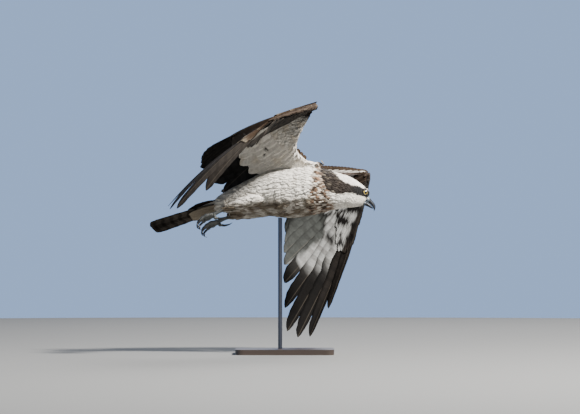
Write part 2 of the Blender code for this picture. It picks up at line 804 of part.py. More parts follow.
def tail_vane(line, root, length, inner, outer, side, lift, rows):
    """One tail feather: inner vane towards the middle, outer vane away from it."""
    above = (Vector((0.0, 0.0, 1.0)) - line * line.z).normalized()
    away = Vector((0.0, side, 0.0))
    away = (away - line * away.dot(line)).normalized()
    top = []
    under = []
    for where, inner_share, outer_share, thick_share in rows:
        point = root + line * (length * where) + above * lift
        for offset in (-inner * inner_share, 0.0, outer * outer_share):
            half = VANE * thick_share / 2.0 * (1.0 if offset == 0.0 else 0.8)
            top.append(place(point + away * offset + above * half))
            under.append(place(point + away * offset - above * half))
    return plate(top, under, len(rows), 3)


def make_tail(model, scrap):
    brown = material("plumage_brown", (0.09, 0.065, 0.045), 0.75)
    tail = add("tail", tail_core(), brown, model)
    pieces = []
    for side in (1.0, -1.0):
        for i in range(RECTRICES):
            rank = i + 1.0 if i > 0 or side < 0.0 else 0.0
            at_root = (i + 0.5) * 0.0024
            at_tip = (i + 0.5) * 0.0044
            spread = (at_tip - at_root) / TAIL_LENGTH
            line = (TAIL_LINE + Vector((0.0, side * spread, 0.0))).normalized()
            root = TAIL_ROOT + Vector((0.0, side * at_root, 0.0))
            inner = 0.014 if i == 0 else at_root + 0.0012
            length = TAIL_LENGTH - 0.0012 * i
            pieces.append(tail_vane(line, root, length, inner, 0.011, side,
                                    0.0030 - 0.0012 * rank, FLIGHT_ROWS))
    for above, length in ((1.0, 0.085), (-1.0, 0.115)):
        for i in range(TAIL_COVERTS):
            across = 0.0085 * (i - (TAIL_COVERTS - 1) / 2.0)
            root = TAIL_ROOT + Vector((-0.004, across, 0.0))
            line = (TAIL_LINE + Vector((0.0, 0.25 * across / TAIL_LENGTH, 0.0))).normalized()
            lift = (0.0072 - 0.0008 * i) if above > 0.0 else (-0.0078 - 0.0008 * i)
            pieces.append(tail_vane(line, root, length, 0.009, 0.009, 1.0, lift, COVERT_ROWS))
    fuse(tail, pieces, scrap)


# Legs: feathered thighs, bare tarsi, toes clenched under the tail

TOES = (("hind", 0.0), ("inner", -0.0095), ("middle", 0.0), ("outer", 0.0095))


def toe_path(name, spread):
    """Toe from the ball of the foot and the claw that follows it, in wing coordinates."""
    ball = Vector((-0.2760, 0.0200, -0.0955))
    if name == "hind":
        toe = [ball, Vector((-0.2690, 0.0200, -0.1040)), Vector((-0.2600, 0.0200, -0.1075))]
        claw = [Vector((-0.2510, 0.0200, -0.1085)), Vector((-0.2420, 0.0200, -0.1072)),
                Vector((-0.2340, 0.0200, -0.1030))]
        return toe, claw
    reach = 0.0035 if name == "middle" else 0.0
    side = Vector((0.0, spread, 0.0))
    toe = [ball + side * 0.3, Vector((-0.2880 - reach, 0.0200, -0.0985)) + side,
           Vector((-0.3000 - reach, 0.0200, -0.1030)) + side,
           Vector((-0.3090 - reach, 0.0200, -0.1095)) + side]
    claw = [Vector((-0.3150 - reach, 0.0200, -0.1180)) + side * 0.9,
            Vector((-0.3140 - reach, 0.0200, -0.1270)) + side * 0.8,
            Vector((-0.3060 - reach, 0.0200, -0.1335)) + side * 0.7]
    return toe, claw


def make_leg(name, side, model, cutters, scrap):
    white = material("plumage_white", (0.72, 0.70, 0.66), 0.8)
    skin = material("leg_skin", (0.33, 0.35, 0.34), 0.6)
    horn = material("claw_horn", (0.02, 0.02, 0.022), 0.3)

    def at(point):
        return wing_place(side, point)

    thigh = [at(Vector(p)) for p in ((-0.120, 0.031, -0.073), (-0.145, 0.031, -0.0745),
                                     (-0.170, 0.030, -0.0755), (-0.195, 0.028, -0.0775),
                                     (-0.220, 0.024, -0.0805), (-0.238, 0.022, -0.0830))]
    limb = add("thigh_" + name, tube(thigh, [0.017, 0.0185, 0.0180, 0.0160, 0.0125, 0.0085], 14),
               white, model)
    cut(limb, body_loft(0.0, TORSO_END, grow=GAP), cutters)
    ankle = thigh[-1] + (thigh[-1] - thigh[-2]).normalized() * GAP
    ball = at(Vector((-0.2700, 0.0205, -0.0925)))
    shin = [ankle, mix(ankle, thigh[-1] + (thigh[-1] - thigh[-2]), 0.3), mix(ankle, ball, 0.6), ball]
    add("tarsus_" + name, tube(shin, [0.0050, 0.0046, 0.0042, 0.0046], 10), skin, model)
    along = (shin[-1] - shin[-2]).normalized()
    palm = [ball + along * GAP, ball + along * 0.005, ball + along * 0.011]
    foot = add("foot_" + name, tube(palm, [0.0050, 0.0066, 0.0040], 10), skin, model)
    toes = []
    for toe_name, spread in TOES:
        toe, claw = toe_path(toe_name, spread)
        toe = [at(p) for p in toe]
        claw = [at(p) for p in claw]
        radii = [mix(0.0046, 0.0033, i / (len(toe) - 1.0)) for i in range(len(toe))]
        toes.append(tube(toe, radii, 8))
        line = (toe[-1] - toe[-2]).normalized()
        claw = [toe[-1] + line * GAP, toe[-1] + line * 0.003] + claw
        thickness = [0.0030, 0.0029, 0.0024, 0.0016, 0.0004]
        add("claw_%s_%s" % (name, toe_name), tube(claw, thickness, 8), horn, model)
    fuse(foot, toes, scrap)


# Stand: a flat base with rounded corners and one rod up to the belly

def make_stand(model, cutters):
    steel = material("stand_metal", (0.10, 0.10, 0.11), 0.35, 1.0)
    wood = material("stand_base", (0.035, 0.03, 0.027), 0.45)
    bm = bmesh.new()
    bmesh.ops.create_cube(bm, size=1.0)
    bmesh.ops.scale(bm, vec=BASE_SIZE, verts=bm.verts[:])
    bmesh.ops.translate(bm, vec=(0.0, 0.0, BASE_SIZE[2] / 2.0), verts=bm.verts[:])
    uprights = [e for e in bm.edges if abs(e.verts[0].co.z - e.verts[1].co.z) > 0.001]
    bmesh.ops.bevel(bm, geom=uprights, offset=0.02, segments=5, affect="EDGES", profile=0.5)
    add("stand_base", finished(bm), wood, model)
    bottom = Vector((ROD_AT[0], ROD_AT[1], BASE_SIZE[2] + GAP))
    top = Vector((ROD_AT[0], ROD_AT[1], SHOULDER_Z - 0.06))
    rod = add("stand_rod", tube([bottom, top], [ROD_RADIUS, ROD_RADIUS], 16), steel, model)
    cut(rod, body_loft(0.0, NECK_END, grow=GAP), cutters)


def main():
    clear_scene()
    model = make_collection("osprey")
    cutters = make_collection("cutters")
    scrap = make_collection("pieces")
    make_body(model)
    make_head(model, cutters, scrap)
    make_wing("right", model, cutters, scrap)
    make_wing("left", model, cutters, scrap)
    make_tail(model, scrap)
    make_leg("left", 1.0, model, cutters, scrap)
    make_leg("right", -1.0, model, cutters, scrap)
    make_stand(model, cutters)
    bpy.data.collections.remove(scrap)


main()
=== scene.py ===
import math

import bmesh
import bpy
import numpy as np
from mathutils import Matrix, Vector, noise


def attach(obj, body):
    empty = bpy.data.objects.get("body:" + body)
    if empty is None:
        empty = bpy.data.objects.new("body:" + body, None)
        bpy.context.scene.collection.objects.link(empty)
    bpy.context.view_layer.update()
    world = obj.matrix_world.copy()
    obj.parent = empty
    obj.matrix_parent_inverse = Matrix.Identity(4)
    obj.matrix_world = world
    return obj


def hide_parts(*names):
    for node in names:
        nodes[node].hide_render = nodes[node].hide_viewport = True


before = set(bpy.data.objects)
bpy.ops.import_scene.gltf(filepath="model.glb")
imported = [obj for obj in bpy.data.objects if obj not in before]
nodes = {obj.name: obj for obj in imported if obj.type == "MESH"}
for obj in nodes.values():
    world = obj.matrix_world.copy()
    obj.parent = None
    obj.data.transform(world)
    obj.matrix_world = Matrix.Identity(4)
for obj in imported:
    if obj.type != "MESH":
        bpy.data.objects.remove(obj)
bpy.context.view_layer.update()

scene = bpy.context.scene


# Studio: a round pale floor under an even pale sky, one strong soft lamp from above
# and ahead, and a long lens level with the middle of the bird, as the photo was taken.

def placed(name, mesh):
    item = bpy.data.objects.new(name, mesh)
    scene.collection.objects.link(item)
    return item


def mesh_from(name, points, faces):
    """A mesh from an array of points and an array of faces that all have as many corners."""
    mesh = bpy.data.meshes.new(name)
    mesh.vertices.add(len(points))
    mesh.vertices.foreach_set("co", np.asarray(points, np.float32).ravel())
    mesh.loops.add(faces.size)
    mesh.loops.foreach_set("vertex_index", faces.astype(np.int32).ravel())
    mesh.polygons.add(len(faces))
    mesh.polygons.foreach_set("loop_start", np.arange(0, faces.size, faces.shape[1], dtype=np.int32))
    mesh.update(calc_edges=True)
    return mesh


def new_material(name, roughness=0.6):
    finish = bpy.data.materials.new(name)
    finish.use_nodes = True
    shader = finish.node_tree.nodes["Principled BSDF"]
    shader.inputs["Roughness"].default_value = roughness
    return finish, finish.node_tree, shader


def any_node(tree, kind, given=(), **settings):
    """A node with its settings, and its inputs set or linked to other nodes' outputs."""
    made = tree.nodes.new(kind)
    for label, value in settings.items():
        setattr(made, label, value)
    for label, value in dict(given).items():
        if isinstance(value, bpy.types.NodeSocket):
            tree.links.new(value, made.inputs[label])
        else:
            made.inputs[label].default_value = value
    return made


def node(tree, kind, given=(), **settings):
    return any_node(tree, "ShaderNode" + kind, given, **settings)


def add_relief(tree, shader, height, strength, distance=None):
    """Fine relief in the surface, of a depth in metres or Blender's own."""
    relief = node(tree, "Bump", {"Strength": strength, "Height": height})
    if distance is not None:
        relief.inputs["Distance"].default_value = distance
    tree.links.new(relief.outputs["Normal"], shader.inputs["Normal"])


def full_turn(count):
    """Even angles once round a circle."""
    return np.arange(count) * 2 * math.pi / count


FLOOR_RADIUS, FLOOR_SIDES = 4.0, 96
turn = full_turn(FLOOR_SIDES)
rim = np.stack([np.cos(turn), np.sin(turn), 0 * turn], -1)
discs = np.concatenate([rim * share for share in (0.001, 0.3, 0.6, 1.0)]) * FLOOR_RADIUS
ids = np.arange(len(discs)).reshape(-1, FLOOR_SIDES)
over = np.roll(ids, -1, axis=1)
floor_faces = np.stack([ids[:-1], ids[1:], over[1:], over[:-1]], -1).reshape(-1, 4)
floor = placed("studio_floor", mesh_from("studio_floor", discs, floor_faces))
paper, tree, shader = new_material("pale_paper", 0.9)
shader.inputs["Base Color"].default_value = (0.17, 0.17, 0.165, 1.0)
add_relief(tree, shader, node(tree, "TexNoise", {"Scale": 60.0}).outputs["Fac"], 0.03)
floor.data.materials.append(paper)

# The studio's walls: pale blue, dim below the floor's level, seen but not lighting
# the bird's matt surfaces
world = bpy.data.worlds.new("studio")
world.use_nodes = True
tree = world.node_tree
way = node(tree, "SeparateXYZ", {"Vector": node(tree, "TexCoord").outputs["Generated"]})
level = node(tree, "MapRange", {"From Min": -0.32, "From Max": -0.10, "Value": way.outputs["Z"]})
walls = node(tree, "Mix", {"A": (0.04, 0.04, 0.038, 1.0), "B": (0.35, 0.51, 0.82, 1.0),
                           "Factor": level.outputs["Result"]}, data_type="RGBA")
tree.links.new(walls.outputs["Result"], tree.nodes["Background"].inputs["Color"])
world.cycles_visibility.diffuse = False
scene.world = world

for name, at, size, power, colour in (
        ("key_lamp", (2.9, -2.7, 4.2), 0.7, 1300.0, (1.0, 0.97, 0.92)),
        ("fill_lamp", (-3.0, -4.0, 1.2), 3.0, 8.0, (0.86, 0.92, 1.0)),
        ("rim_lamp", (1.2, 4.0, 3.0), 1.5, 160.0, (1.0, 0.98, 0.95))):
    lamp = bpy.data.lights.new(name, "AREA")
    lamp.size = size
    lamp.energy = power
    lamp.color = colour
    holder = placed(name, lamp)
    holder.location = at
    holder.rotation_euler = (Vector((0.0, 0.0, 0.42)) - Vector(at)).to_track_quat("-Z", "Y").to_euler()

lens = bpy.data.cameras.new("camera")
lens.lens = 282.2
lens.clip_end = 60.0
camera = placed("camera", lens)
camera.location = (0.0140, -12.0, 0.3881)
camera.rotation_euler = (math.pi / 2, 0.0, 0.0)
scene.camera = camera


# Lie of the bird: its body heads along +X, turned a little towards the camera and
# banked to its left. Places on it are given as forward, left, up from between the
# shoulders, as in the solids; a wing's use forward, outward, up on either side.

YAW, PITCH, ROLL = math.radians(15.0), math.radians(8.0), math.radians(28.0)
SHOULDERS = np.array((0.080, 0.0, 0.479))
AHEAD = np.array((math.cos(YAW) * math.cos(PITCH), -math.sin(YAW) * math.cos(PITCH), math.sin(PITCH)))
LEVEL = np.array((math.sin(YAW), math.cos(YAW), 0.0))
LEFT = LEVEL * math.cos(ROLL) - np.cross(AHEAD, LEVEL) * math.sin(ROLL)
AXES = np.array((AHEAD, LEFT, np.cross(AHEAD, LEFT)))


def unit(v):
    v = np.asarray(v, float)
    return v / np.maximum(np.linalg.norm(v, axis=-1, keepdims=True), 1e-12)


def to_room(points):
    return SHOULDERS + np.asarray(points, float) @ AXES


def to_bird(points):
    return (np.asarray(points, float) - SHOULDERS) @ AXES.T


def dot(a, b):
    return (a * b).sum(-1, keepdims=True)


def blend(a, b, t):
    return a + (b - a) * t


def smooth(t):
    t = np.clip(t, 0.0, 1.0)
    return t * t * (3.0 - 2.0 * t)


def curve_through(table, at):
    """Smooth curve through the rows of a table, straight past both ends."""
    table = np.asarray(table, float)
    at = np.asarray(at, float)
    last = len(table) - 1
    k = np.clip(np.floor(at).astype(int), 0, last - 1)
    t = (at - k)[..., None]
    b, c = table[k], table[k + 1]
    a = np.where((k > 0)[..., None], table[np.maximum(k - 1, 0)], 2 * b - c)
    d = np.where((k + 2 <= last)[..., None], table[np.minimum(k + 2, last)], 2 * c - b)
    curve = 0.5 * (2 * b + (c - a) * t + (2 * a - 5 * b + 4 * c - d) * t ** 2
                   + (3 * b - a - 3 * c + d) * t ** 3)
    return np.where((t < 0) | (t > 1), b + (c - b) * t, curve)


HEAD_AHEAD = unit((0.739, 0.448, -0.502))
HEAD_UP = unit(np.cross(HEAD_AHEAD, (-0.319, 0.890, 0.325)))
HEAD_AXES = np.array((HEAD_AHEAD, np.cross(HEAD_UP, HEAD_AHEAD), HEAD_UP))
EYES_AT = np.array((0.1282, 0.0229, -0.0710))


def head_to_room(points):
    return to_room(EYES_AT + np.asarray(points, float) @ HEAD_AXES)


def to_head(points):
    return (to_bird(points) - EYES_AT) @ HEAD_AXES.T


# Wing surface: every flight feather and covert lies on one smooth curved surface
# per wing, numbered from the outermost primary inwards and measured from its root.

SIDES = {
    "right": dict(side=-1.0, wrist=(0.070, 0.153, 0.0816), lift=22.0, hand=(-0.800, 0.107, -0.600),
                  stretch=1.0, back=(-0.342, 0.770, 0.526), secondary=(-0.985, -0.120, 0.045), fan=1.5),
    "left": dict(side=1.0, wrist=(0.087, 0.153, 0.100), lift=13.0, hand=(-0.421, 0.251, -0.872),
                 stretch=1.02, back=(-0.309, 0.864, 0.398), secondary=(-0.900, -0.120, -0.420), fan=0.7),
}
PRIMARIES = [(-3.2, 0.378), (0.0, 0.465), (3.4, 0.479), (7.3, 0.476), (12.0, 0.424),
             (17.5, 0.369), (22.5, 0.332), (26.3, 0.310), (30.1, 0.290), (34.0, 0.272)]
HUMERUS, ULNA, MANUS, BOW = 0.145, 0.178, 0.125, 1.20
LAYER, WRIST_THICK = 0.0013, 0.0085
INNER_CHORD = unit((-0.930, -0.330, -0.160))
INNER_NORMAL = unit((-0.020, -0.498, 0.867))


class WingSurface:
    def __init__(self, side, wrist, lift, hand, stretch, back, secondary, fan):
        self.side = side
        hand = unit(hand)
        self.back = unit(np.array(back) - hand * np.dot(back, hand))
        self.shoulder = np.array((0.0, 0.050, 0.0))
        self.wrist = self.shoulder + np.array(wrist)
        reach = self.wrist - self.shoulder
        span = np.linalg.norm(reach)
        along = reach / span
        foot = (HUMERUS ** 2 - ULNA ** 2 + span ** 2) / (2 * span)
        behind = unit(INNER_CHORD - along * np.dot(INNER_CHORD, along))
        tilt = math.radians(lift)
        behind = behind * math.cos(tilt) + np.cross(along, behind) * math.sin(tilt)
        elbow = self.shoulder + along * foot + behind * math.sqrt(HUMERUS ** 2 - foot ** 2)
        across = np.cross(self.back, hand)
        knuckles = math.radians(-11.0)
        self.manus = unit(hand * math.cos(knuckles) + across * math.sin(knuckles) + self.back * 0.38)
        roots, lines, normals, lengths = [], [], [], []
        for i, (angle, reach) in enumerate(PRIMARIES):
            turn = math.radians(angle)
            tip = self.wrist + (hand * math.cos(turn) + across * math.sin(turn)) * reach * stretch
            root = self.wrist + self.manus * blend(MANUS, 0.008, i / 9.0)
            length = np.linalg.norm(tip - root)
            chord = (tip - root) / length
            bend = BOW * length / 2.0
            normal = self.normal_of(i)
            normal = unit(normal - chord * np.dot(normal, chord))
            roots.append(root)
            lines.append(chord * math.cos(bend) + normal * math.sin(bend))
            normals.append(normal * math.cos(bend) - chord * math.sin(bend))
            lengths.append(length)
        tertial = unit((-0.850, -0.420, -0.320))
        for i in range(15):
            if i < 10:
                t = i / 9.0
                root = blend(self.wrist, elbow, blend(0.05, 0.97, t))
                line = unit(blend(unit(secondary), INNER_CHORD, t ** fan))
                length = 0.245 + 0.024 * math.sin(math.pi * t) - 0.015 * t
            else:
                t = (i - 9.0) / 5.0
                root = blend(elbow, self.shoulder, 0.80 * t)
                line = unit(blend(INNER_CHORD, tertial, min(2.2 * t, 1.0)))
                length = blend(0.236, 0.200, t)
            normal = self.normal_of(10 + i)
            roots.append(root)
            lines.append(line)
            normals.append(unit(normal - line * np.dot(normal, line)))
            lengths.append(length)
        self.roots, self.lines, self.normals = np.array(roots), np.array(lines), np.array(normals)
        self.lengths = np.array(lengths)

    def normal_of(self, index):
        share = [0.0] * 6 + [0.06, 0.14, 0.22, 0.28, 0.28, 0.42, 0.58, 0.72, 0.84, 0.93, 1.0]
        return unit(blend(self.back, INNER_NORMAL, share[min(index, 16)]))

    def at(self, index, along):
        """Points, directions and normals at fractional feathers and distances from their roots."""
        root = curve_through(self.roots, index)
        line = unit(curve_through(self.lines, index))
        normal = curve_through(self.normals, index)
        normal = unit(normal - line * dot(normal, line))
        turn = BOW * np.asarray(along, float)[..., None]
        point = root + line * np.sin(turn) / BOW - normal * (1.0 - np.cos(turn)) / BOW
        return (point, line * np.cos(turn) - normal * np.sin(turn),
                normal * np.cos(turn) + line * np.sin(turn))

    def length_at(self, index):
        return curve_through(self.lengths[:, None], index)[..., 0]

    def room(self, points):
        return to_room(np.asarray(points) * (1.0, self.side, 1.0))


WINGS = {name: WingSurface(**shape) for name, shape in SIDES.items()}


# Skin: the hide under the plumage, from the base of the bill over the head, body,
# thighs, the root of the tail and the flesh of both wings, drawn in by the plumage's
# depth. It is closed, but each wing's hand comes out as a shell apart from its arm.

SKIN_GRAIN = 0.0024
COAT_DEPTH = 0.0024


def lofted(name, rings):
    """A closed mesh through rings of points, with a fan over each end."""
    rings = np.array(rings)
    rows, sides, _ = rings.shape
    ids = np.arange(rows * sides).reshape(rows, sides)
    over = np.roll(ids, -1, axis=1)
    quads = np.stack([ids[:-1], over[:-1], over[1:], ids[1:]], -1).reshape(-1, 4)
    points = rings.reshape(-1, 3)
    centres = rings[[0, -1]].mean(1)
    first, last = len(points), len(points) + 1
    caps = [(ids[0, i], ids[0, i - 1], first) for i in range(sides)]
    caps += [(ids[-1, i - 1], ids[-1, i], last) for i in range(sides)]
    bm = bmesh.new()
    verts = [bm.verts.new(p) for p in np.vstack([points, centres])]
    for face in [*quads, *caps]:
        bm.faces.new([verts[i] for i in face])
    bmesh.ops.recalc_face_normals(bm, faces=bm.faces[:])
    mesh = bpy.data.meshes.new(name)
    bm.to_mesh(mesh)
    bm.free()
    return mesh


def flesh_ring(wing, front, back, normal, thick):
    chord = back - front
    width = np.linalg.norm(chord)
    chord = chord / width
    above = unit(normal - chord * np.dot(normal, chord))
    angles = full_turn(16)
    where = 0.5 - 0.5 * np.cos(angles)
    height = thick * np.sin(angles) * (1.0 - 0.3 * where)
    return wing.room(front + chord * (width * where)[:, None] + above * height[:, None])


def wing_flesh(wing):
    """The hand's bar and the arm with the skin in front of its elbow, as in the solids."""
    across = np.cross(wing.back, wing.manus)
    wrist_normal = wing.normal_of(10)
    centre = curve_through(wing.roots, 9.5)
    hand = [flesh_ring(wing, centre - across * 0.013, centre + across * 0.012, wrist_normal, WRIST_THICK)]
    for i in range(1, 8):
        t = i / 7.0
        centre = curve_through(wing.roots, blend(9.5, -2.2, t))
        hand.append(flesh_ring(wing, centre - across * blend(0.013, 0.003, t ** 1.5),
                               centre + across * blend(0.015, 0.004, t ** 1.5), wing.back,
                               blend(WRIST_THICK, 0.0022, t)))
    arm = []
    front_end = curve_through(wing.roots, 9.5) - across * 0.013
    for i in range(24):
        t = i / 24.0
        front = blend(wing.shoulder + (0.044, -0.012, -0.004), front_end, t)
        front = front + INNER_CHORD * 0.085 * math.sin(math.pi * t)
        bone = blend(25.3, 24.0, t / 0.2) if t < 0.2 else blend(24.0, 9.5, (t - 0.2) / 0.8)
        root, line, normal = wing.at(bone, np.zeros(()))
        start = max(blend(0.018, 0.012, t), np.dot(front - root, line) + 0.022)
        back = wing.at(bone, np.array(start))[0]
        thick = min(blend(0.0150, WRIST_THICK, t), 0.15 * np.linalg.norm(back - front))
        arm.append(flesh_ring(wing, front, back, normal, thick))
    arm.append(hand[0])
    return [lofted("hand", hand), lofted("arm", arm)]


hide = bmesh.new()
for name in ("rump", "torso", "neck", "head", "thigh_left", "thigh_right"):
    hide.from_mesh(nodes[name].data)
for wing in WINGS.values():
    for mesh in wing_flesh(wing):
        hide.from_mesh(mesh)
        bpy.data.meshes.remove(mesh)
tail_rings = []
for forward, up, wide, high in ((-0.245, -0.0500, 0.0200, 0.0200), (-0.285, -0.0578, 0.0175, 0.0130),
                                (-0.305, -0.0622, 0.0150, 0.0075), (-0.320, -0.0655, 0.0125, 0.0035)):
    turn = full_turn(24)
    tail_rings.append(to_room(np.stack([np.full(24, forward), wide * np.cos(turn),
                                        up + high * np.sin(turn)], -1)))
mesh = lofted("tail_root", tail_rings)
hide.from_mesh(mesh)
bpy.data.meshes.remove(mesh)
mesh = bpy.data.meshes.new("skin")
hide.to_mesh(mesh)
hide.free()
skin = placed("skin", mesh)
fusing = skin.modifiers.new("fusing", "REMESH")
fusing.mode = "VOXEL"
fusing.voxel_size = SKIN_GRAIN
softening = skin.modifiers.new("softening", "SMOOTH")
softening.iterations = 4
softening.factor = 0.6
graph = bpy.context.evaluated_depsgraph_get()
mesh = bpy.data.meshes.new_from_object(skin.evaluated_get(graph))
skin.modifiers.clear()
skin.data = mesh
mesh.name = "skin"


def numbers(collection, name, width):
    values = np.empty(len(collection) * width, np.float32)
    collection.foreach_get(name, values)
    return values.reshape(-1, width).astype(float)


skin_points = numbers(mesh.vertices, "co", 3)
skin_normals = numbers(mesh.vertices, "normal", 3)
in_bird = to_bird(skin_points)
outward = np.abs(in_bird[:, 1])
on_head = smooth((in_bird[:, 0] - 0.075) / 0.03) * (outward < 0.08)
depth = blend(COAT_DEPTH, 0.0006, smooth((outward - 0.055) / 0.03))
depth = blend(depth, 0.0012, on_head)
skin_points = skin_points - skin_normals * depth[:, None]
mesh.vertices.foreach_set("co", skin_points.astype(np.float32).ravel())
mesh.update()
for face in mesh.polygons:
    face.use_smooth = True

bpy.context.view_layer.objects.active = skin
skin.select_set(True)
bpy.ops.object.mode_set(mode="EDIT")
bpy.ops.mesh.select_all(action="SELECT")
bpy.ops.uv.smart_project(angle_limit=math.radians(66.0), island_margin=0.002)
bpy.ops.object.mode_set(mode="OBJECT")
skin.data.uv_layers[0].name = "OFBake"
mesh = skin.data


# Markings, painted alike on the skin and on every feather that grows from it: white
# below, dark brown on the back, a necklace of brown flecks across the breast, and a
# brown mask through the eye on a white head. The belly's underside and parts of the
# wings' under sides are also darkened with painted shade.

WHITE = np.array((0.84, 0.80, 0.73))
CREAM = np.array((0.60, 0.51, 0.39))
BROWN = np.array((0.042, 0.027, 0.017))
RUST = np.array((0.22, 0.100, 0.040))
DUSK = np.array((0.0090, 0.0070, 0.0055))
GREY_BROWN = np.array((0.052, 0.044, 0.037))
SLATE = np.array((0.026, 0.024, 0.022))
GREY = np.array((0.32, 0.31, 0.285))


def fleck(points, size, seed):
    """Cell noise from 0 to 1, steady within patches of about the given size."""
    offset = Vector((seed, seed * 0.7, -seed))
    points = np.asarray(points)
    values = [noise.noise(Vector(p) / size + offset) for p in points.reshape(-1, 3)]
    return np.array(values).reshape(points.shape[:-1]) * 0.5 + 0.5


SPINE = np.array([
    (-0.262, 0, -0.0530, 0.0230, 0.0230, 0), (-0.240, 0, -0.0500, 0.0300, 0.0310, 0),
    (-0.200, 0, -0.0455, 0.0410, 0.0410, 0), (-0.160, 0, -0.0440, 0.0510, 0.0530, 0),
    (-0.120, 0, -0.0445, 0.0590, 0.0640, 0), (-0.080, 0, -0.0480, 0.0645, 0.0705, 0),
    (-0.040, 0, -0.0495, 0.0660, 0.0710, 0), (0.0, 0, -0.0520, 0.0640, 0.0665, 0.05),
    (0.0486, 0.0041, -0.0614, 0.0540, 0.0528, 0.30), (0.0745, 0.0097, -0.0671, 0.0460, 0.0470, 0.55),
    (0.0970, 0.0175, -0.0741, 0.0375, 0.0396, 0.80), (0.1152, 0.0250, -0.0816, 0.0275, 0.0318, 1),
    (0.1275, 0.0305, -0.0854, 0.0200, 0.0225, 1), (0.1330, 0.0335, -0.0880, 0.0125, 0.0150, 1)])


def on_spine(points):
    """Station along the body, angle round it from the back, and the way ahead there."""
    at = np.linspace(-1.0, 13.6, 293)
    row = curve_through(SPINE, at)
    turned = np.clip(row[:, 5:6], 0.0, 1.0)
    ahead = unit(blend(np.array((1.0, 0.0, 0.0)), HEAD_AXES[0], turned))
    side = blend(np.array((0.0, 1.0, 0.0)), HEAD_AXES[1], turned)
    side = unit(side - ahead * dot(side, ahead))
    above = np.cross(ahead, side)
    centre = row[:, :3]
    found = np.empty(len(points), int)
    for first in range(0, len(points), 20000):
        part = points[first:first + 20000]
        level = np.abs(part @ ahead.T - (centre * ahead).sum(1))
        gap = (part ** 2).sum(1)[:, None] - 2 * part @ centre.T + (centre ** 2).sum(1)
        found[first:first + 20000] = (level + 0.15 * np.sqrt(np.maximum(gap, 0.0))).argmin(1)
    away = points - centre[found]
    angle = np.degrees(np.arctan2((away * side[found]).sum(1) / np.maximum(row[found, 3], 0.004),
                                  (away * above[found]).sum(1) / np.maximum(row[found, 4], 0.004)))
    return at[found], np.abs(angle), ahead[found]


def painted(points):
    """The plumage's colour at places on the bird, in the room's metres, with painted shade under the belly.
    """
    body = to_bird(points)
    station, angle, _ = on_spine(body)
    rough = fleck(points, 0.010, 3.0)
    fine = fleck(points, 0.0042, 11.0)
    coarse = fleck(points, 0.024, 7.0)
    streak = fleck(body * (0.45, 1.0, 1.0), 0.0050, 2.0)
    wander = rough - 0.5
    on_wing = smooth((np.abs(body[:, 1]) - 0.066) / 0.010)
    colour = blend(WHITE, CREAM, (0.22 * smooth((coarse - 0.55) * 4))[:, None])
    # The belly's underside, where it faces down: cream with brown streaks, darkened further with painted
    # shade.
    belly_stain_and_shade = smooth((angle - 126) / 16) * smooth((station - 0.2) / 1.0) * smooth((7.6 - station) / 0.6)
    colour = blend(colour, CREAM * 0.36, (belly_stain_and_shade * (0.50 + 0.60 * smooth((coarse - 0.35) * 3)))[:, None])
    colour = blend(colour, BROWN * 2.0, (belly_stain_and_shade * smooth((streak - 0.56) * 8) * 0.75)[:, None])
    first = np.interp(angle, [0, 45, 112, 145, 180], [7.40, 7.34, 7.22, 7.05, 6.85])
    last = np.interp(angle, [0, 50, 98, 133, 156, 180], [7.60, 7.60, 7.90, 8.15, 8.60, 8.60])
    bib = smooth((station - first + 0.10 * wander) / 0.12)
    bib = bib * smooth((last + 0.25 - station + 0.2 * wander) / 0.20)
    colour = blend(colour, CREAM * 0.80, (0.45 * bib)[:, None])
    colour = blend(colour, RUST * 0.8, (bib * smooth((fine - 0.44) * 8) * 0.9)[:, None])
    colour = blend(colour, BROWN * 1.2, (bib * smooth((streak - 0.53) * 10))[:, None])
    mantle = smooth((40 + 14 * wander - angle) / 8) * smooth((7.75 - station) / 0.3)
    collar_from = np.interp(angle, [0, 38, 89, 106], [7.40, 7.46, 7.74, 7.95])
    upper = np.interp(station, [7.9, 8.15, 8.66, 9.24, 9.8, 10.16, 10.5, 10.9, 11.8],
                      [-20, 22, 57, 67, 63, 55, 46, 42, 34]) + 7 * wander
    lower = np.interp(station, [7.4, 7.9, 8.1, 8.82, 9.42, 9.8, 10.16, 10.88, 11.5, 12.2],
                      [88, 102, 116, 124, 115, 106, 101, 96, 92, 88]) + 9 * wander
    mask = smooth((station - collar_from + 0.15 * wander) / 0.10) * smooth((angle - upper) / 5)
    mask = mask * smooth((lower - angle) / 6)
    crown = smooth((upper - angle) / 6) * smooth((fine - 0.60) * 8) * smooth((station - 10.4) / 0.6)
    colour = blend(colour, BROWN * 1.1, (mantle * (1.0 - on_wing))[:, None])
    dark = blend(BROWN * 0.35, DUSK * 0.4, smooth((station - 9.4) / 1.2)[:, None])
    pale = 0.45 * smooth((streak - 0.62) * 9) * smooth(9.2 - station)
    lit = blend(dark, CREAM * 0.6, pale[:, None])
    colour = blend(colour, lit, mask[:, None])
    colour = blend(colour, BROWN * 1.5, (0.7 * crown)[:, None])
    from_eye = to_head(points) - (0.0045, 0.0, -0.0010)
    lores = smooth((0.0125 - np.hypot(from_eye[:, 0] * 0.75, from_eye[:, 2] * 1.35)) / 0.003)
    colour = blend(colour, DUSK * 0.6, (lores * (station > 10.5))[:, None])
    return colour * (0.92 + 0.16 * fine)[:, None]


def nearest_feather(wing, local):
    """The fractional feather whose root lies nearest to points given in a wing's frame."""
    index = np.linspace(-1.0, 24.0, 101)
    roots = curve_through(wing.roots, index)
    gap = ((local[:, None, :] - roots[None]) ** 2).sum(-1)
    return index[gap.argmin(1)]


# Dark blotches under the lowered wing, in millimetres: place across and height in the
# room, half width and half height. Their places were read off the photo by eye as
# pixels, turned into the room's measures by a scratch script, and rounded.
BLOTCHES = np.array([
    (105, 367, 12, 12), (136, 369, 17, 6), (152, 359, 20, 6), (154, 346, 19, 7),
    (188, 383, 22, 12), (184, 340, 8, 9), (111, 305, 7, 12), (125, 300, 9, 12),
    (151, 292, 10, 8), (150, 313, 3, 9), (176, 307, 12, 9), (162, 378, 15, 6), (103, 331, 6, 12)]) / 1000.0
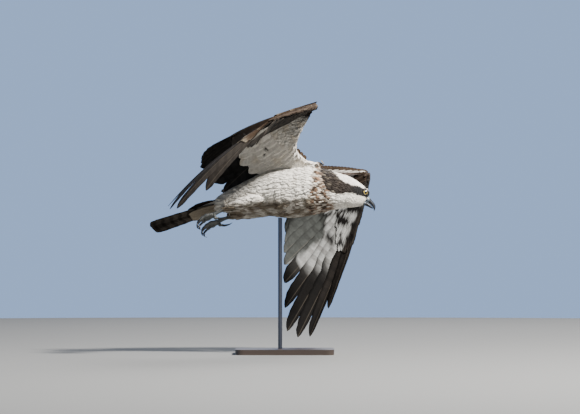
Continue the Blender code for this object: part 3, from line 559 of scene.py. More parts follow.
# The two ticks under the raised wing: feather counted from the outermost, distance
# along it in metres, and half sizes of both
TICKS = [(20.75, 0.055, 0.22, 0.0036), (20.98, 0.069, 0.18, 0.0030)]


def under_wing(name, index, along, points):
    """Colour of a wing's under side by feather and distance along it, with painted shade in places."""
    streak = fleck(points, 0.006, 9.0)
    if name == "right":
        cream = 0.5 * smooth((fleck(points, 0.02, 4.0) - 0.5) * 5)
        colour = blend(WHITE * 0.86, CREAM * 0.9, cream[..., None])
        # Beyond the coverts the secondaries' under sides are painted near black: painted shade over their
        # grey.
        limit = np.interp(index, [10.0, 20.0, 20.9, 21.8, 24.0], [0.128, 0.132, 0.162, 0.200, 0.240])
        colour = blend(colour, DUSK, smooth((along - limit) / 0.006 + 0.5)[..., None])
        hand = blend(SLATE * 0.8, GREY_BROWN * 1.3, smooth((streak - 0.52) * 8)[..., None])
        colour = blend(colour, hand, smooth((12.6 - index) / 1.2)[..., None])
        spots = TICKS
    else:
        across, height = points[..., 0], points[..., 2]
        # Painted shade: the pale under feathers are painted a dim grey, and much darker above-left of a line
        # across the room, where a cast shadow is painted on the inner part.
        inner = smooth((0.1074 - across) / 0.008 + 0.5)
        inner = inner * smooth((height - 0.3048 + 0.70 * (0.1048 - across)) / 0.008 + 0.5)
        colour = blend(np.array((0.265, 0.267, 0.262)), np.array((0.048, 0.051, 0.048)), inner[..., None])
        # Painted shade: above this height in the room the white under coverts of the arm are painted
        # grey-brown.
        colour = blend(colour, GREY_BROWN, smooth((height - 0.404) / 0.008 + 0.5)[..., None])
        corner = smooth((across - 0.176) / 0.006 + 0.5) * smooth((height - 0.392) / 0.006 + 0.5)
        colour = blend(colour, DUSK, (0.9 * corner * smooth(1.4 - streak))[..., None])
        fade = np.interp(index, [0.0, 2.2, 3.9, 5.2, 6.5, 10.0], [0.150, 0.195, 0.240, 0.262, 0.315, 0.45])
        colour = blend(colour, SLATE * 0.6, smooth((along - fade) / 0.012)[..., None])
        colour = blend(colour, DUSK * 0.35, smooth((along - fade - 0.01) / 0.04)[..., None])
        edge = 2.1 - 5.0 * (along - 0.06)
        colour = blend(colour, DUSK, smooth((edge - index) / 0.5 + 0.5)[..., None])
        wrist = smooth(1.8 - np.abs(index - 9.2)) * smooth((0.045 - along) / 0.01)
        colour = blend(colour, blend(DUSK, BROWN, streak[..., None]), wrist[..., None])
        index, along, spots = across, height, BLOTCHES
    for at, reach, wide, tall in spots:
        away = np.hypot((index - at) / wide, (along - reach) / tall) + 0.25 * (streak - 0.5)
        colour = blend(colour, DUSK * 0.3, smooth((1.15 - away) * 5)[..., None])
    return colour


colours = painted(skin_points)
station, angle, ahead = on_spine(in_bird)
lie = -ahead + np.where(station[:, None] < 1.5, np.array((0.0, 0.0, -0.06)), 0.0)
size_here = np.interp(station, [0.0, 2.0, 6.4, 7.3, 8.0, 9.0, 10.0, 10.8, 11.6, 12.6],
                      [0.021, 0.020, 0.018, 0.0165, 0.0145, 0.0115, 0.0084, 0.0062, 0.0048, 0.0036])
zone = np.select([station < 3.0, station < 7.0, station < 9.6], [1.0, 2.0, 3.0], 4.0)
for name, wing in WINGS.items():
    mine = (in_bird[:, 1] * wing.side > 0.069) & (in_bird[:, 0] > -0.22)
    local = in_bird[mine] * (1.0, wing.side, 1.0)
    index = nearest_feather(wing, local)
    root, line, normal = wing.at(index, np.zeros(len(index)))
    facing = ((to_bird(skin_points[mine] + skin_normals[mine]) - in_bird[mine])
              * (1.0, wing.side, 1.0) * normal).sum(-1)
    forward = -((local - root) * line).sum(-1)
    lie[mine] = line * (1.0, wing.side, 1.0)
    size_here[mine] = np.interp(forward, [-0.01, 0.02, 0.045, 0.07], [0.018, 0.017, 0.013, 0.010])
    size_here[mine] *= np.interp(index, [8.0, 10.0, 13.0], [0.55, 0.62, 1.0])
    bare = (forward < -0.004) | (index < -0.3)
    zone[mine] = np.where(bare, 0.0, 5.0 if name == "right" else 6.0)
    speck = fleck(skin_points[mine], 0.0045, 5.0)
    above = smooth((facing + 0.10) * 4)
    under = under_wing(name, index, -forward, skin_points[mine])
    flecks = 0.55 * smooth((speck - 0.58) * 9) * smooth((forward - 0.004) / 0.010)
    upper = blend(BROWN, CREAM * 0.8, flecks[:, None])
    under = blend(under, upper, smooth((11.8 - index) / 0.9)[:, None] * (name == "right"))
    if name == "left":
        rim = smooth((forward - 0.020) / 0.010) * smooth((index - 9.0) / 1.0)
        rim_colour = blend(BROWN * 0.9, WHITE * 0.8, smooth((speck - 0.50) * 10)[:, None])
        under = blend(under, rim_colour, rim[:, None])
        upper = blend(upper, rim_colour, (rim * smooth((0.5 - facing) * 4))[:, None])
    painted_wing = blend(under, upper, above[:, None])
    share = smooth((np.abs(local[:, 1]) - 0.069) / 0.012)[:, None]
    colours[mine] = blend(colours[mine], painted_wing, share)
lie_room = unit(lie @ AXES)


def store(mesh, name, kind, values):
    """Writes a value for each point of a mesh: a colour, a vector or a number."""
    layer = mesh.attributes.new(name, kind, "POINT")
    values = np.asarray(values, np.float32)
    if kind == "FLOAT_COLOR":
        values = np.concatenate([values, np.ones((len(values), 1), np.float32)], 1)
    field = {"FLOAT_COLOR": "color", "FLOAT_VECTOR": "vector"}.get(kind, "value")
    layer.data.foreach_set(field, values.ravel())


store(mesh, "plumage", "FLOAT_COLOR", colours)
store(mesh, "lie", "FLOAT_VECTOR", lie_room)
store(mesh, "feather_size", "FLOAT", size_here)
store(mesh, "zone", "FLOAT", zone)


def object_place(tree):
    return node(tree, "TexCoord").outputs["Object"]


def scaled(tree, colour, share):
    return node(tree, "VectorMath", {0: colour, "Scale": share}, operation="SCALE").outputs["Vector"]


def mottled_paint(tree, grain, contrast):
    """A piece's painted colour made lighter and darker by fine noise, and that noise."""
    paint = node(tree, "Attribute", attribute_name="plumage")
    mottle = node(tree, "TexNoise", {"Vector": object_place(tree), **grain}).outputs["Fac"]
    vary = node(tree, "MapRange", {"Value": mottle, **contrast})
    return scaled(tree, paint.outputs["Color"], vary.outputs["Result"]), mottle


def plumage_finish(name, sheen, gloss):
    """Matt feather in its painted colour."""
    finish, tree, shader = new_material(name, 0.78)
    shader.inputs["Sheen Weight"].default_value = sheen
    shader.inputs["Sheen Roughness"].default_value = 0.5
    shader.inputs["Specular IOR Level"].default_value = gloss
    colour, _ = mottled_paint(tree, {"Scale": 160.0, "Detail": 3.0},
                              {"From Min": 0.3, "From Max": 0.7, "To Min": 0.82, "To Max": 1.10})
    tree.links.new(colour, shader.inputs["Base Color"])
    return finish, tree, shader, colour


down = plumage_finish("down_white_and_brown", 0.04, 0.25)[0]
mesh.materials.clear()
mesh.materials.append(down)
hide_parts("rump", "torso", "neck", "head", "thigh_left", "thigh_right")
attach(skin, "root")


# Small feathers of the body, head, neck, thighs and the front of the wings: short
# overlapping vanes rooted in the skin that follow its lie, smallest on the face.

LEAF_ROWS = [(0.0, 0.30, 0.000), (0.30, 0.90, 0.026), (0.65, 1.00, 0.040), (0.90, 0.62, 0.036),
             (1.0, 0.10, 0.030)]


def leaf_mesh(name, slim):
    """One small feather of unit length along X, closed, arched across and lifted at its tip."""
    top, under = [], []
    for where, share, rise in LEAF_ROWS:
        for side in (-1.0, 0.0, 1.0):
            half = slim * share * 0.5
            bend = -0.10 * abs(side) * share
            top.append((where, side * half, rise + 0.006 + bend * 0.3))
            under.append((where, side * half, rise - 0.006 + bend * 0.3))
    points = np.array(top + under)
    ids = np.arange(15).reshape(5, 3)
    up = np.stack([ids[:-1, :-1], ids[1:, :-1], ids[1:, 1:], ids[:-1, 1:]], -1).reshape(-1, 4)
    low = up[:, ::-1] + 15
    rim = np.concatenate([ids[0, :-1], ids[:-1, -1], ids[-1, :0:-1], ids[:0:-1, 0]])
    after = np.roll(rim, -1)
    edge = np.stack([rim, rim + 15, after + 15, after], -1)
    mesh = mesh_from(name, points, np.vstack([up, low, edge]))
    bm = bmesh.new()
    bm.from_mesh(mesh)
    bmesh.ops.recalc_face_normals(bm, faces=bm.faces[:])
    bm.to_mesh(mesh)
    bm.free()
    store(mesh, "vane", "FLOAT_VECTOR", points * (1.0, 1.0 / slim, 0.0) + (0.0, 0.5, 0.0))
    for face in mesh.polygons:
        face.use_smooth = True
    return mesh


def math_node(tree, operation, *values):
    return node(tree, "Math", dict(enumerate(values)), operation=operation).outputs[0]


def coat_tree(name):
    """Scatters leaves over one zone of a skin, along its lie and of its feather size."""
    tree = bpy.data.node_groups.new(name, "GeometryNodeTree")
    face = tree.interface
    face.new_socket("Geometry", in_out="INPUT", socket_type="NodeSocketGeometry")
    face.new_socket("Leaf", in_out="INPUT", socket_type="NodeSocketObject")
    for label in ("Spacing", "Density", "Zone", "Seed"):
        kind = "NodeSocketInt" if label == "Seed" else "NodeSocketFloat"
        face.new_socket(label, in_out="INPUT", socket_type=kind)
    face.new_socket("Finish", in_out="INPUT", socket_type="NodeSocketMaterial")
    face.new_socket("Geometry", in_out="OUTPUT", socket_type="NodeSocketGeometry")
    given, result = any_node(tree, "NodeGroupInput"), any_node(tree, "NodeGroupOutput")
    spacing, density, zone, seed = (given.outputs[label] for label in ("Spacing", "Density", "Zone", "Seed"))

    def attribute(label, kind):
        return any_node(tree, "GeometryNodeInputNamedAttribute", {"Name": label},
                        data_type=kind).outputs["Attribute"]

    here = any_node(tree, "FunctionNodeCompare", {"Epsilon": 0.5, 0: attribute("zone", "FLOAT"), 1: zone},
                    operation="EQUAL")
    scatter = any_node(tree, "GeometryNodeDistributePointsOnFaces",
                       {"Mesh": given.outputs["Geometry"], "Selection": here.outputs[0],
                        "Distance Min": spacing, "Density Max": density, "Seed": seed},
                       distribute_method="POISSON")
    keep = any_node(tree, "GeometryNodeStoreNamedAttribute",
                    {"Name": "root_map", "Geometry": scatter.outputs["Points"],
                     "Value": attribute("OFBake", "FLOAT_VECTOR")}, data_type="FLOAT_VECTOR", domain="POINT")
    upright = any_node(tree, "FunctionNodeAlignRotationToVector",
                       {"Vector": scatter.outputs["Normal"]}, axis="Z")
    along = any_node(tree, "FunctionNodeAlignRotationToVector",
                     {"Rotation": upright.outputs["Rotation"], "Vector": attribute("lie", "FLOAT_VECTOR")},
                     axis="X", pivot_axis="Z")
    vary = any_node(tree, "FunctionNodeRandomValue", {2: 0.85, 3: 1.15, "Seed": seed}, data_type="FLOAT")
    scale = math_node(tree, "MULTIPLY", vary.outputs[1], attribute("feather_size", "FLOAT"))
    sway = any_node(tree, "FunctionNodeRandomValue",
                    {0: (-0.05, -0.03, -0.20), 1: (0.05, 0.03, 0.20), "Seed": seed}, data_type="FLOAT_VECTOR")
    leaf = any_node(tree, "GeometryNodeObjectInfo", {"Object": given.outputs["Leaf"]})
    plant = any_node(tree, "GeometryNodeInstanceOnPoints",
                     {"Points": keep.outputs["Geometry"], "Instance": leaf.outputs["Geometry"],
                      "Rotation": along.outputs["Rotation"], "Scale": scale})
    lean = any_node(tree, "GeometryNodeRotateInstances",
                    {"Instances": plant.outputs["Instances"], "Rotation": sway.outputs[0]})
    real = any_node(tree, "GeometryNodeRealizeInstances", {"Geometry": lean.outputs["Instances"]})
    finish = any_node(tree, "GeometryNodeSetMaterial",
                      {"Geometry": real.outputs["Geometry"], "Material": given.outputs["Finish"]})
    tree.links.new(finish.outputs["Geometry"], result.inputs["Geometry"])
    return tree


def bake_map(mesh, root_map, leaf_map, patch=0.003):
    """Writes the map OFBake: each feather a small patch at its root's place on the skin's map."""
    corners = np.empty(len(mesh.loops), np.int32)
    mesh.loops.foreach_get("vertex_index", corners)
    layer = mesh.uv_layers.new(name="OFBake")
    spots = root_map[:, :2] + (leaf_map[:, :2] - 0.5) * patch
    layer.data.foreach_set("uv", spots[corners].astype(np.float32).ravel())


def grow_coat(name, tree, leaf, spacing, zone, finish):
    """Grows the small feathers of one zone of the skin as a piece of their own."""
    item = placed(name, skin.data.copy())
    change = item.modifiers.new("coat", "NODES")
    change.node_group = tree
    sockets = {s.name: s.identifier for s in tree.interface.items_tree
               if s.item_type == "SOCKET" and s.in_out == "INPUT"}
    for label, value in (("Leaf", leaf), ("Spacing", spacing), ("Density", 1.6 / spacing ** 2),
                         ("Zone", float(zone)), ("Seed", zone), ("Finish", finish)):
        change[sockets[label]] = value
    graph = bpy.context.evaluated_depsgraph_get()
    mesh = bpy.data.meshes.new_from_object(item.evaluated_get(graph))
    item.modifiers.clear()
    old, item.data = item.data, mesh
    bpy.data.meshes.remove(old)
    mesh.name = name
    root_map = numbers(mesh.attributes["root_map"].data, "vector", 3)
    leaf_map = numbers(mesh.attributes["vane"].data, "vector", 3)
    for layer in list(mesh.uv_layers):
        mesh.uv_layers.remove(layer)
    bake_map(mesh, root_map, leaf_map)
    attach(item, "root")


contour, tree, shader, _ = plumage_finish("contour_feathers", 0.04, 0.25)
vane = node(tree, "Attribute", attribute_name="vane")
rows = node(tree, "TexWave", {"Scale": 9.0, "Distortion": 1.5, "Vector": vane.outputs["Vector"]},
            bands_direction="Y")
add_relief(tree, shader, rows.outputs["Fac"], 0.35, 0.0004)
coat = coat_tree("coat")
leaf = placed("leaf", leaf_mesh("leaf", 0.46))
slim_leaf = placed("slim_leaf", leaf_mesh("slim_leaf", 0.40))
for zone_number, (name, shape, spacing) in enumerate((
        ("rump", leaf, 0.0044), ("breast", leaf, 0.0038), ("neck", leaf, 0.0031), ("head", slim_leaf, 0.0019),
        ("wing_right", leaf, 0.0036), ("wing_left", leaf, 0.0036)), start=1):
    grow_coat("coat_" + name, coat, shape, spacing, zone_number, contour)
bpy.data.objects.remove(leaf)
bpy.data.objects.remove(slim_leaf)


# Wing feathers: ten primaries, ten secondaries and five tertials on each side, with
# coverts in tiers above and below that hide their roots. Each is a thin closed vane
# with a raised shaft, laid on the wing's surface over the next feather outwards.

# How wide a vane is along it: place from 0 to 1, share of the leading half's full width
# and share of the trailing half's
FINGER_SHAPE = [(0.0, 0.25, 0.20), (0.15, 0.80, 0.65), (0.42, 1.0, 1.0), (0.56, 0.78, 0.82),
                (0.84, 0.62, 0.70), (0.93, 0.50, 0.58), (0.98, 0.28, 0.34), (1.0, 0.05, 0.05)]
FLIGHT_SHAPE = [(0.0, 0.30, 0.30), (0.2, 0.95, 0.90), (0.75, 1.0, 1.0), (0.90, 0.88, 0.92),
                (0.96, 0.64, 0.72), (0.99, 0.34, 0.40), (1.0, 0.06, 0.06)]
COVERT_SHAPE = [(0.0, 0.30, 0.30), (0.3, 0.85, 0.85), (0.65, 1.0, 1.0), (0.85, 0.88, 0.88),
                (0.95, 0.56, 0.56), (1.0, 0.08, 0.08)]
# Places across a vane from its leading to its trailing edge, and the height there of
# the ridge that its shaft makes, as a share of the greatest
ACROSS = np.array([-1.0, -0.66, -0.34, -0.07, 0.0, 0.05, 0.30, 0.64, 1.0])
RIDGE = np.array([0.0, 0.10, 0.25, 0.45, 1.0, 0.45, 0.25, 0.10, 0.0])
SHAFT_HEIGHT = 0.0005


def vane_faces(count, rows, columns):
    """Faces of closed vanes whose points come as an upper and an under grid each."""
    ids = np.arange(rows * columns).reshape(rows, columns)
    under = rows * columns
    top = np.stack([ids[:-1, :-1], ids[1:, :-1], ids[1:, 1:], ids[:-1, 1:]], -1).reshape(-1, 4)
    rim = np.concatenate([ids[0, :-1], ids[:-1, -1], ids[-1, :0:-1], ids[:0:-1, 0]])
    after = np.roll(rim, -1)
    edge = np.stack([rim, after, after + under, rim + under], -1)
    one = np.vstack([top, top[:, ::-1] + under, edge])
    return (one[None] + (np.arange(count) * 2 * under)[:, None, None]).reshape(-1, 4)


def signed_volume(points, faces):
    a, b, c, d = (points[faces[:, i]] for i in range(4))
    return (np.cross(a, b) * c).sum() + (np.cross(a, c) * d).sum()


def row_places(rows):
    """Places from 0 to 1 along a vane, closer together towards its tip."""
    return 1.0 - (1.0 - np.linspace(0.0, 1.0, rows)) ** 1.35


def wing_vanes(wing, index, start, length, lead, trail, lift, shape, rows, seed, thick=0.00030):
    """Upper and under grids of feathers, the places along and across them, and a random each."""
    rng = np.random.default_rng(seed)
    index = np.asarray(index, float)
    count = len(index)
    start, length, lead, trail = (np.broadcast_to(v, count).astype(float)
                                  for v in (start, length, lead, trail))
    where = row_places(rows)
    table = np.array(shape)
    lead_share = np.interp(where, table[:, 0], table[:, 1])
    trail_share = np.interp(where, table[:, 0], table[:, 2])
    along = start[:, None] + where * length[:, None]
    wander = rng.uniform(-0.05, 0.05, count)[:, None] * where
    own = index[:, None] + wander
    pitch = np.linalg.norm(wing.at(own + 0.5, along)[0] - wing.at(own - 0.5, along)[0], axis=-1)
    ragged = 1.0 + 0.05 * rng.standard_normal((count, rows, 1)) * (where > 0.3)[None, :, None]
    width = np.where(ACROSS < 0, (lead[:, None] * lead_share)[..., None],
                     (trail[:, None] * trail_share)[..., None])
    offset = ACROSS * width * ragged
    shift = offset / pitch[..., None]
    spread = np.broadcast_to(along[..., None], shift.shape)
    point, line, normal = wing.at(own[..., None] + shift, spread)
    rise = np.interp(where, [0.0, 1.0], lift) if np.ndim(lift) else np.full(rows, float(lift))
    arch = 0.0006 * (1.0 - (offset / np.maximum(width, 1e-6)) ** 2)
    height = rise[:, None] - LAYER * shift + arch
    middle = point + normal * height[..., None]
    half = thick * (1.0 - 0.4 * where)[:, None] + SHAFT_HEIGHT * RIDGE * (1.0 - 0.75 * where)[:, None]
    half = half[None, ..., None]
    grids = (wing.room(middle + normal * half), wing.room(middle - normal * half),
             spread - start[:, None, None], offset,
             np.broadcast_to(rng.random(count)[:, None, None], shift.shape))
    return grids, own[..., None] + shift, spread


def vane_object(name, parts, finish, replaced):
    """One object from lists of vane grids and their upper and under colours and barring."""
    points, faces, paints, vanes, barring, maps = [], [], [], [], [], []
    first = 0
    total = sum(len(part[0][0]) for part in parts)
    serial = 0
    side = int(math.ceil(math.sqrt(total)))
    for (top, under, along, offset, chance), top_paint, under_paint, top_bars, under_bars in parts:
        count, rows, columns, _ = top.shape
        both = np.stack([top.reshape(count, -1, 3), under.reshape(count, -1, 3)], 1)
        points.append(both.reshape(-1, 3))
        faces.append(vane_faces(count, rows, columns) + first)
        first += both.size // 3
        paint = np.stack([top_paint.reshape(count, -1, 3), under_paint.reshape(count, -1, 3)], 1)
        paints.append(paint.reshape(-1, 3))
        place = np.stack([along, offset, chance], -1).reshape(count, 1, -1, 3)
        vanes.append(np.repeat(place, 2, 1).reshape(-1, 3))
        bars = [np.broadcast_to(b, along.shape).reshape(count, -1) for b in (top_bars, under_bars)]
        barring.append(np.stack(bars, 1).reshape(-1))
        cell = np.arange(serial, serial + count)
        serial += count
        corner = np.stack([cell % side, cell // side], -1)[:, None, None, :] / side
        u = np.broadcast_to(ACROSS * 0.5 + 0.5, (rows, columns))
        v = np.broadcast_to(np.linspace(0, 1, rows)[:, None], (rows, columns))
        flat = np.stack([np.stack([u * 0.46, v * 0.94], -1), np.stack([u * 0.46 + 0.5, v * 0.94], -1)])
        maps.append((corner + flat.reshape(1, 2, -1, 2) / side).reshape(-1, 2))
    points, faces = np.concatenate(points), np.concatenate(faces)
    if signed_volume(points, faces) < 0:
        faces = faces[:, ::-1]
    mesh = mesh_from(name, points, faces)
    mesh.polygons.foreach_set("use_smooth", np.ones(len(faces), bool))
    store(mesh, "plumage", "FLOAT_COLOR", np.clip(np.concatenate(paints), 0.0, 1.0))
    store(mesh, "vane", "FLOAT_VECTOR", np.concatenate(vanes))
    store(mesh, "barring", "FLOAT", np.concatenate(barring))
    layer = mesh.uv_layers.new(name="OFBake")
    layer.data.foreach_set("uv", np.concatenate(maps)[faces.ravel()].astype(np.float32).ravel())
    item = placed(name, mesh)
    mesh.materials.append(finish)
    if replaced:
        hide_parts(*replaced)
    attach(item, "root")


def vane_finish(name, bar_length):
    """Long feathers: painted ground, dark bars where the barring is set, pale shaft, barbs."""
    finish, tree, shader, ground = plumage_finish(name, 0.0, 0.10)
    vane = node(tree, "Attribute", attribute_name="vane")
    split = node(tree, "SeparateXYZ", {"Vector": vane.outputs["Vector"]})
    along, across, chance = split.outputs
    barred = node(tree, "Attribute", attribute_name="barring")
    aside = math_node(tree, "ABSOLUTE", across)
    slanted = math_node(tree, "SUBTRACT", along, math_node(tree, "MULTIPLY", aside, 0.45))
    beat = math_node(tree, "MULTIPLY", slanted, 2.0 * math.pi / bar_length)
    wave = math_node(tree, "SINE", math_node(tree, "ADD", beat, math_node(tree, "MULTIPLY", chance, 5.0)))
    band = node(tree, "MapRange", {"From Min": 0.05, "From Max": 0.55, "Value": wave},
                interpolation_type="SMOOTHSTEP")
    strength = math_node(tree, "MULTIPLY", band.outputs["Result"], barred.outputs["Fac"])
    bars = node(tree, "Mix", {"B": (0.16, 0.13, 0.11, 1.0), "Factor": strength, "A": ground},
                data_type="RGBA", blend_type="MULTIPLY")
    quill = node(tree, "MapRange", {"From Min": 0.0012, "From Max": 0.0004, "Value": aside},
                 interpolation_type="SMOOTHSTEP")
    share = math_node(tree, "MULTIPLY", quill.outputs["Result"], 0.12)
    shaft = node(tree, "Mix", {"B": (0.30, 0.25, 0.19, 1.0), "Factor": share, "A": bars.outputs["Result"]},
                 data_type="RGBA")
    tree.links.new(shaft.outputs["Result"], shader.inputs["Base Color"])
    slope = math_node(tree, "SUBTRACT", along, math_node(tree, "MULTIPLY", aside, 1.3))
    barbs = math_node(tree, "MULTIPLY", slope, 2.0 * math.pi / BARB_SPACING)
    add_relief(tree, shader, math_node(tree, "SINE", barbs), 0.35, 0.00015)
    return finish


BARB_SPACING = 0.0011
flight_finish = vane_finish("flight_feathers", 0.030)


def tone(shape, *stops):
    """Colours along a grid's feathers: stops of place from 0 to 1 and colour."""
    places = [s[0] for s in stops]
    ramp = np.stack([np.interp(row_places(shape[1]), places, [s[1][k] for s in stops]) for k in range(3)], -1)
    return np.broadcast_to(ramp[None, :, None, :], shape + (3,))


for name, wing in WINGS.items():
    near = name == "right"
    index = np.arange(25.0)
    parts = []
    for chosen, shape, lead, trail in ((index[:5], FINGER_SHAPE, 0.0155, 0.0330),
                                       (index[5:10], FLIGHT_SHAPE, 0.0120, 0.0300),
                                       (index[10:], FLIGHT_SHAPE, 0.0125, 0.0330)):
        grids, _, at_along = wing_vanes(wing, chosen, 0.0, wing.length_at(chosen), lead, trail, 0.0,
                                        shape, 26, 3)
        cells = grids[0].shape[:3]
        edge = smooth((grids[3] / trail - 0.80) * 6)[..., None] * 0.25
        top = blend(tone(cells, (0, BROWN), (0.5, BROWN * 0.8), (1, DUSK * 1.3)), CREAM * 0.35, edge)
        own_index = np.broadcast_to(chosen[:, None, None], cells)
        if chosen[0] < 10:
            under = under_wing(name, own_index, at_along, grids[0])
            share = at_along / wing.length_at(chosen)[:, None, None]
            bars = np.interp(share, [0.2, 0.5, 0.8], [0.25, 0.40, 0.15])
            top = tone(cells, (0, GREY_BROWN * 0.8), (0.5, GREY_BROWN * 0.55), (1, DUSK * 1.2))
        else:
            under = tone(cells, (0, WHITE * 0.7), (0.40, GREY * 1.1), (0.75, GREY * 0.6), (1, SLATE * 1.6))
            # On the raised wing the secondaries' under sides are painted much darker than on the lowered
            # wing: painted shade.
            if near:
                under = tone(cells, (0, GREY), (0.45, SLATE * 0.8), (1, SLATE * 0.6))
            bars = 0.45
        inner = smooth((grids[3] / trail - 0.55) * 4)[..., None]
        under = blend(under, under * 0.45, inner * 0.8)
        parts.append((grids, top, under, 0.25, bars))
    vane_object("flight_%s" % name, parts, flight_finish, ("wing_%s_hand" % name, "wing_%s_arm" % name))
    parts = []
    rng = np.random.default_rng(11)
    for first, last, step, begin, reach, lift, wide in (
            (-0.6, 9.6, 0.5, 0.0, 0.36, (0.0040, 0.0028), 0.012),
            (0.5, 9.6, 0.5, 0.0, 0.20, (0.0062, 0.0042), 0.011),
            (9.4, 24.6, 0.5, 0.0, 0.44, (0.0046, 0.0030), 0.013),
            (9.4, 24.6, 0.5, 0.0, 0.30, (0.0066, 0.0044), 0.012),
            (9.4, 24.6, 0.5, -0.004, 0.17, (0.0088, 0.0062), 0.011)):
        at = np.arange(first, last, step)
        length = wing.length_at(at) * reach * rng.uniform(0.93, 1.07, len(at)) - begin
        grids = wing_vanes(wing, at, begin, length, wide, wide * 1.25, lift, COVERT_SHAPE, 12,
                           int(reach * 100))[0]
        cells = grids[0].shape[:3]
        pick = rng.uniform(0.75, 1.35, len(at))[:, None, None, None]
        top = tone(cells, (0, BROWN), (0.8, BROWN * 1.15), (1, CREAM * 0.42)) * pick
        parts.append((grids, top, top, 0.0, 0.0))
    for first, last, step, begin, reach, lift, wide in (
            (-0.6, 9.6, 0.5, 0.0, 0.34, (-0.0052, -0.0190 if near else -0.0040), 0.012),
            (0.5, 9.6, 0.5, 0.0, 0.20, (-0.0070, -0.0150 if near else -0.0056), 0.011),
            (9.4, 24.8, 0.5, 0.012, 0.60, (-0.0052, -0.0038), 0.014),
            (9.4, 24.8, 0.5, 0.004, 0.42, (-0.0072, -0.0056), 0.013),
            (9.4, 24.8, 0.5, 0.0, 0.26, (-0.0094, -0.0074), 0.012)):
        if not near and reach > 0.55:
            reach = 0.50
        at = np.arange(first, last, step)
        length = wing.length_at(at) * reach * rng.uniform(0.94, 1.06, len(at)) - begin
        grids, at_index, at_along = wing_vanes(wing, at, begin, length, wide, wide * 1.3, lift,
                                               COVERT_SHAPE, 12, int(reach * 100) + 50)
        cells = grids[0].shape[:3]
        pick = rng.uniform(0.92, 1.05, len(at))[:, None, None, None]
        under = under_wing(name, at_index, at_along, grids[0]) * pick
        over = under * 0.8 if near else np.broadcast_to(BROWN, under.shape)
        parts.append((grids, over, under, 0.0, 0.0))
    vane_object("coverts_%s" % name, parts, flight_finish, ())


# Tail: twelve barred feathers with blunt tips, closed to a narrow fan, and coverts
# above and below that run on from the rump.

TAIL_LINE = unit((-0.981, 0.0, -0.196))
TAIL_ROOT = np.array((-0.270, 0.0, -0.0555))
TAIL_LENGTH = 0.190


def tail_vanes(entries, shape, rows, thick=0.00035):
    """Entries give root, line, length, inner and outer width, side and height of each feather."""
    where = row_places(rows)
    table = np.array(shape)
    inner_share, outer_share = (np.interp(where, table[:, 0], table[:, k]) for k in (1, 2))
    grids = [[], [], [], [], []]
    rng = np.random.default_rng(5)
    for root, line, length, inner, outer, side, lift in entries:
        above = unit(np.array((0.0, 0.0, 1.0)) - line * line[2])
        away = np.array((0.0, side, 0.0))
        away = unit(away - line * np.dot(away, line))
        width = np.where(ACROSS < 0, (inner * inner_share)[:, None], (outer * outer_share)[:, None])
        offset = ACROSS * width * (1.0 + 0.04 * rng.standard_normal((rows, 1)))
        arch = 0.0004 * (1.0 - ACROSS ** 2) - 0.035 * np.abs(offset)
        middle = (root + line * (length * where)[:, None, None] + away * offset[..., None]
                  + above * (lift + arch)[..., None])
        half = thick * (1.0 - 0.4 * where)[:, None] + SHAFT_HEIGHT * RIDGE * (1.0 - 0.7 * where)[:, None]
        half = half[..., None]
        along = np.broadcast_to((length * where)[:, None], offset.shape)
        chance = np.full(offset.shape, 0.1 + 0.05 * rng.random())
        for held, new in zip(grids, (to_room(middle + above * half), to_room(middle - above * half),
                                     along, offset, chance)):
            held.append(new)
    return tuple(np.array(g) for g in grids)


entries = []
for side in (1.0, -1.0):
    for i in range(6):
        rank = i + 1.0 if i > 0 or side < 0.0 else 0.0
        at_root, at_tip = (i + 0.5) * 0.0024, (i + 0.5) * 0.0044
        line = unit(TAIL_LINE + np.array((0.0, side * (at_tip - at_root) / TAIL_LENGTH, 0.0)))
        root = TAIL_ROOT + np.array((0.0, side * at_root, 0.0))
        entries.append((root, line, TAIL_LENGTH - 0.0012 * i, 0.014, 0.0115, side, 0.0030 - 0.0012 * rank))
rectrices = tail_vanes(entries, FLIGHT_SHAPE, 26)
cells = rectrices[0].shape[:3]
# The tail's under side, barred grey, is painted dark olive-brown: its own grey darkened with painted shade.
tail_parts = [(rectrices, tone(cells, (0, BROWN), (0.9, BROWN * 1.1), (1, CREAM * 0.5)),
               tone(cells, (0, GREY * 0.4), (0.4, GREY_BROWN * 1.3), (0.9, GREY_BROWN * 0.6),
                    (1, GREY_BROWN * 0.5)), 0.45, 0.75)]
# The under tail coverts' tan is pale feather darkened with painted shade.
for above, reach, colour in ((1.0, 0.085, BROWN * 1.15), (-1.0, 0.085, CREAM * 0.55)):
    entries = []
    for row in range(3):
        for i in range(6):
            across = 0.0055 * (i - 2.5)
            root = TAIL_ROOT + np.array((0.012 - 0.010 * row, across, -above * 0.002 * row))
            line = unit(TAIL_LINE + np.array((0.0, 0.25 * across / TAIL_LENGTH, 0.0)))
            lift = (0.0078 if above > 0.0 else -0.0072) - 0.0005 * i + above * 0.0022 * row
            entries.append((root, line, reach * (1.05 - 0.22 * row), 0.0085, 0.0085, 1.0, lift))
    grids = tail_vanes(entries, COVERT_SHAPE, 14)
    cells = grids[0].shape[:3]
    paint = tone(cells, (0, colour), (0.85, colour), (1, colour * 0.9))
    tail_parts.append((grids, paint, paint, 0.2 * (above > 0), 0.0))
vane_object("tail_feathers", tail_parts, vane_finish("tail_feathers", 0.024), ("tail",))


# Bill: horn in two halves with a soft blue-grey cere at its base, slit nostrils, a
# strongly hooked tip and the line of the mouth running back under the eye.

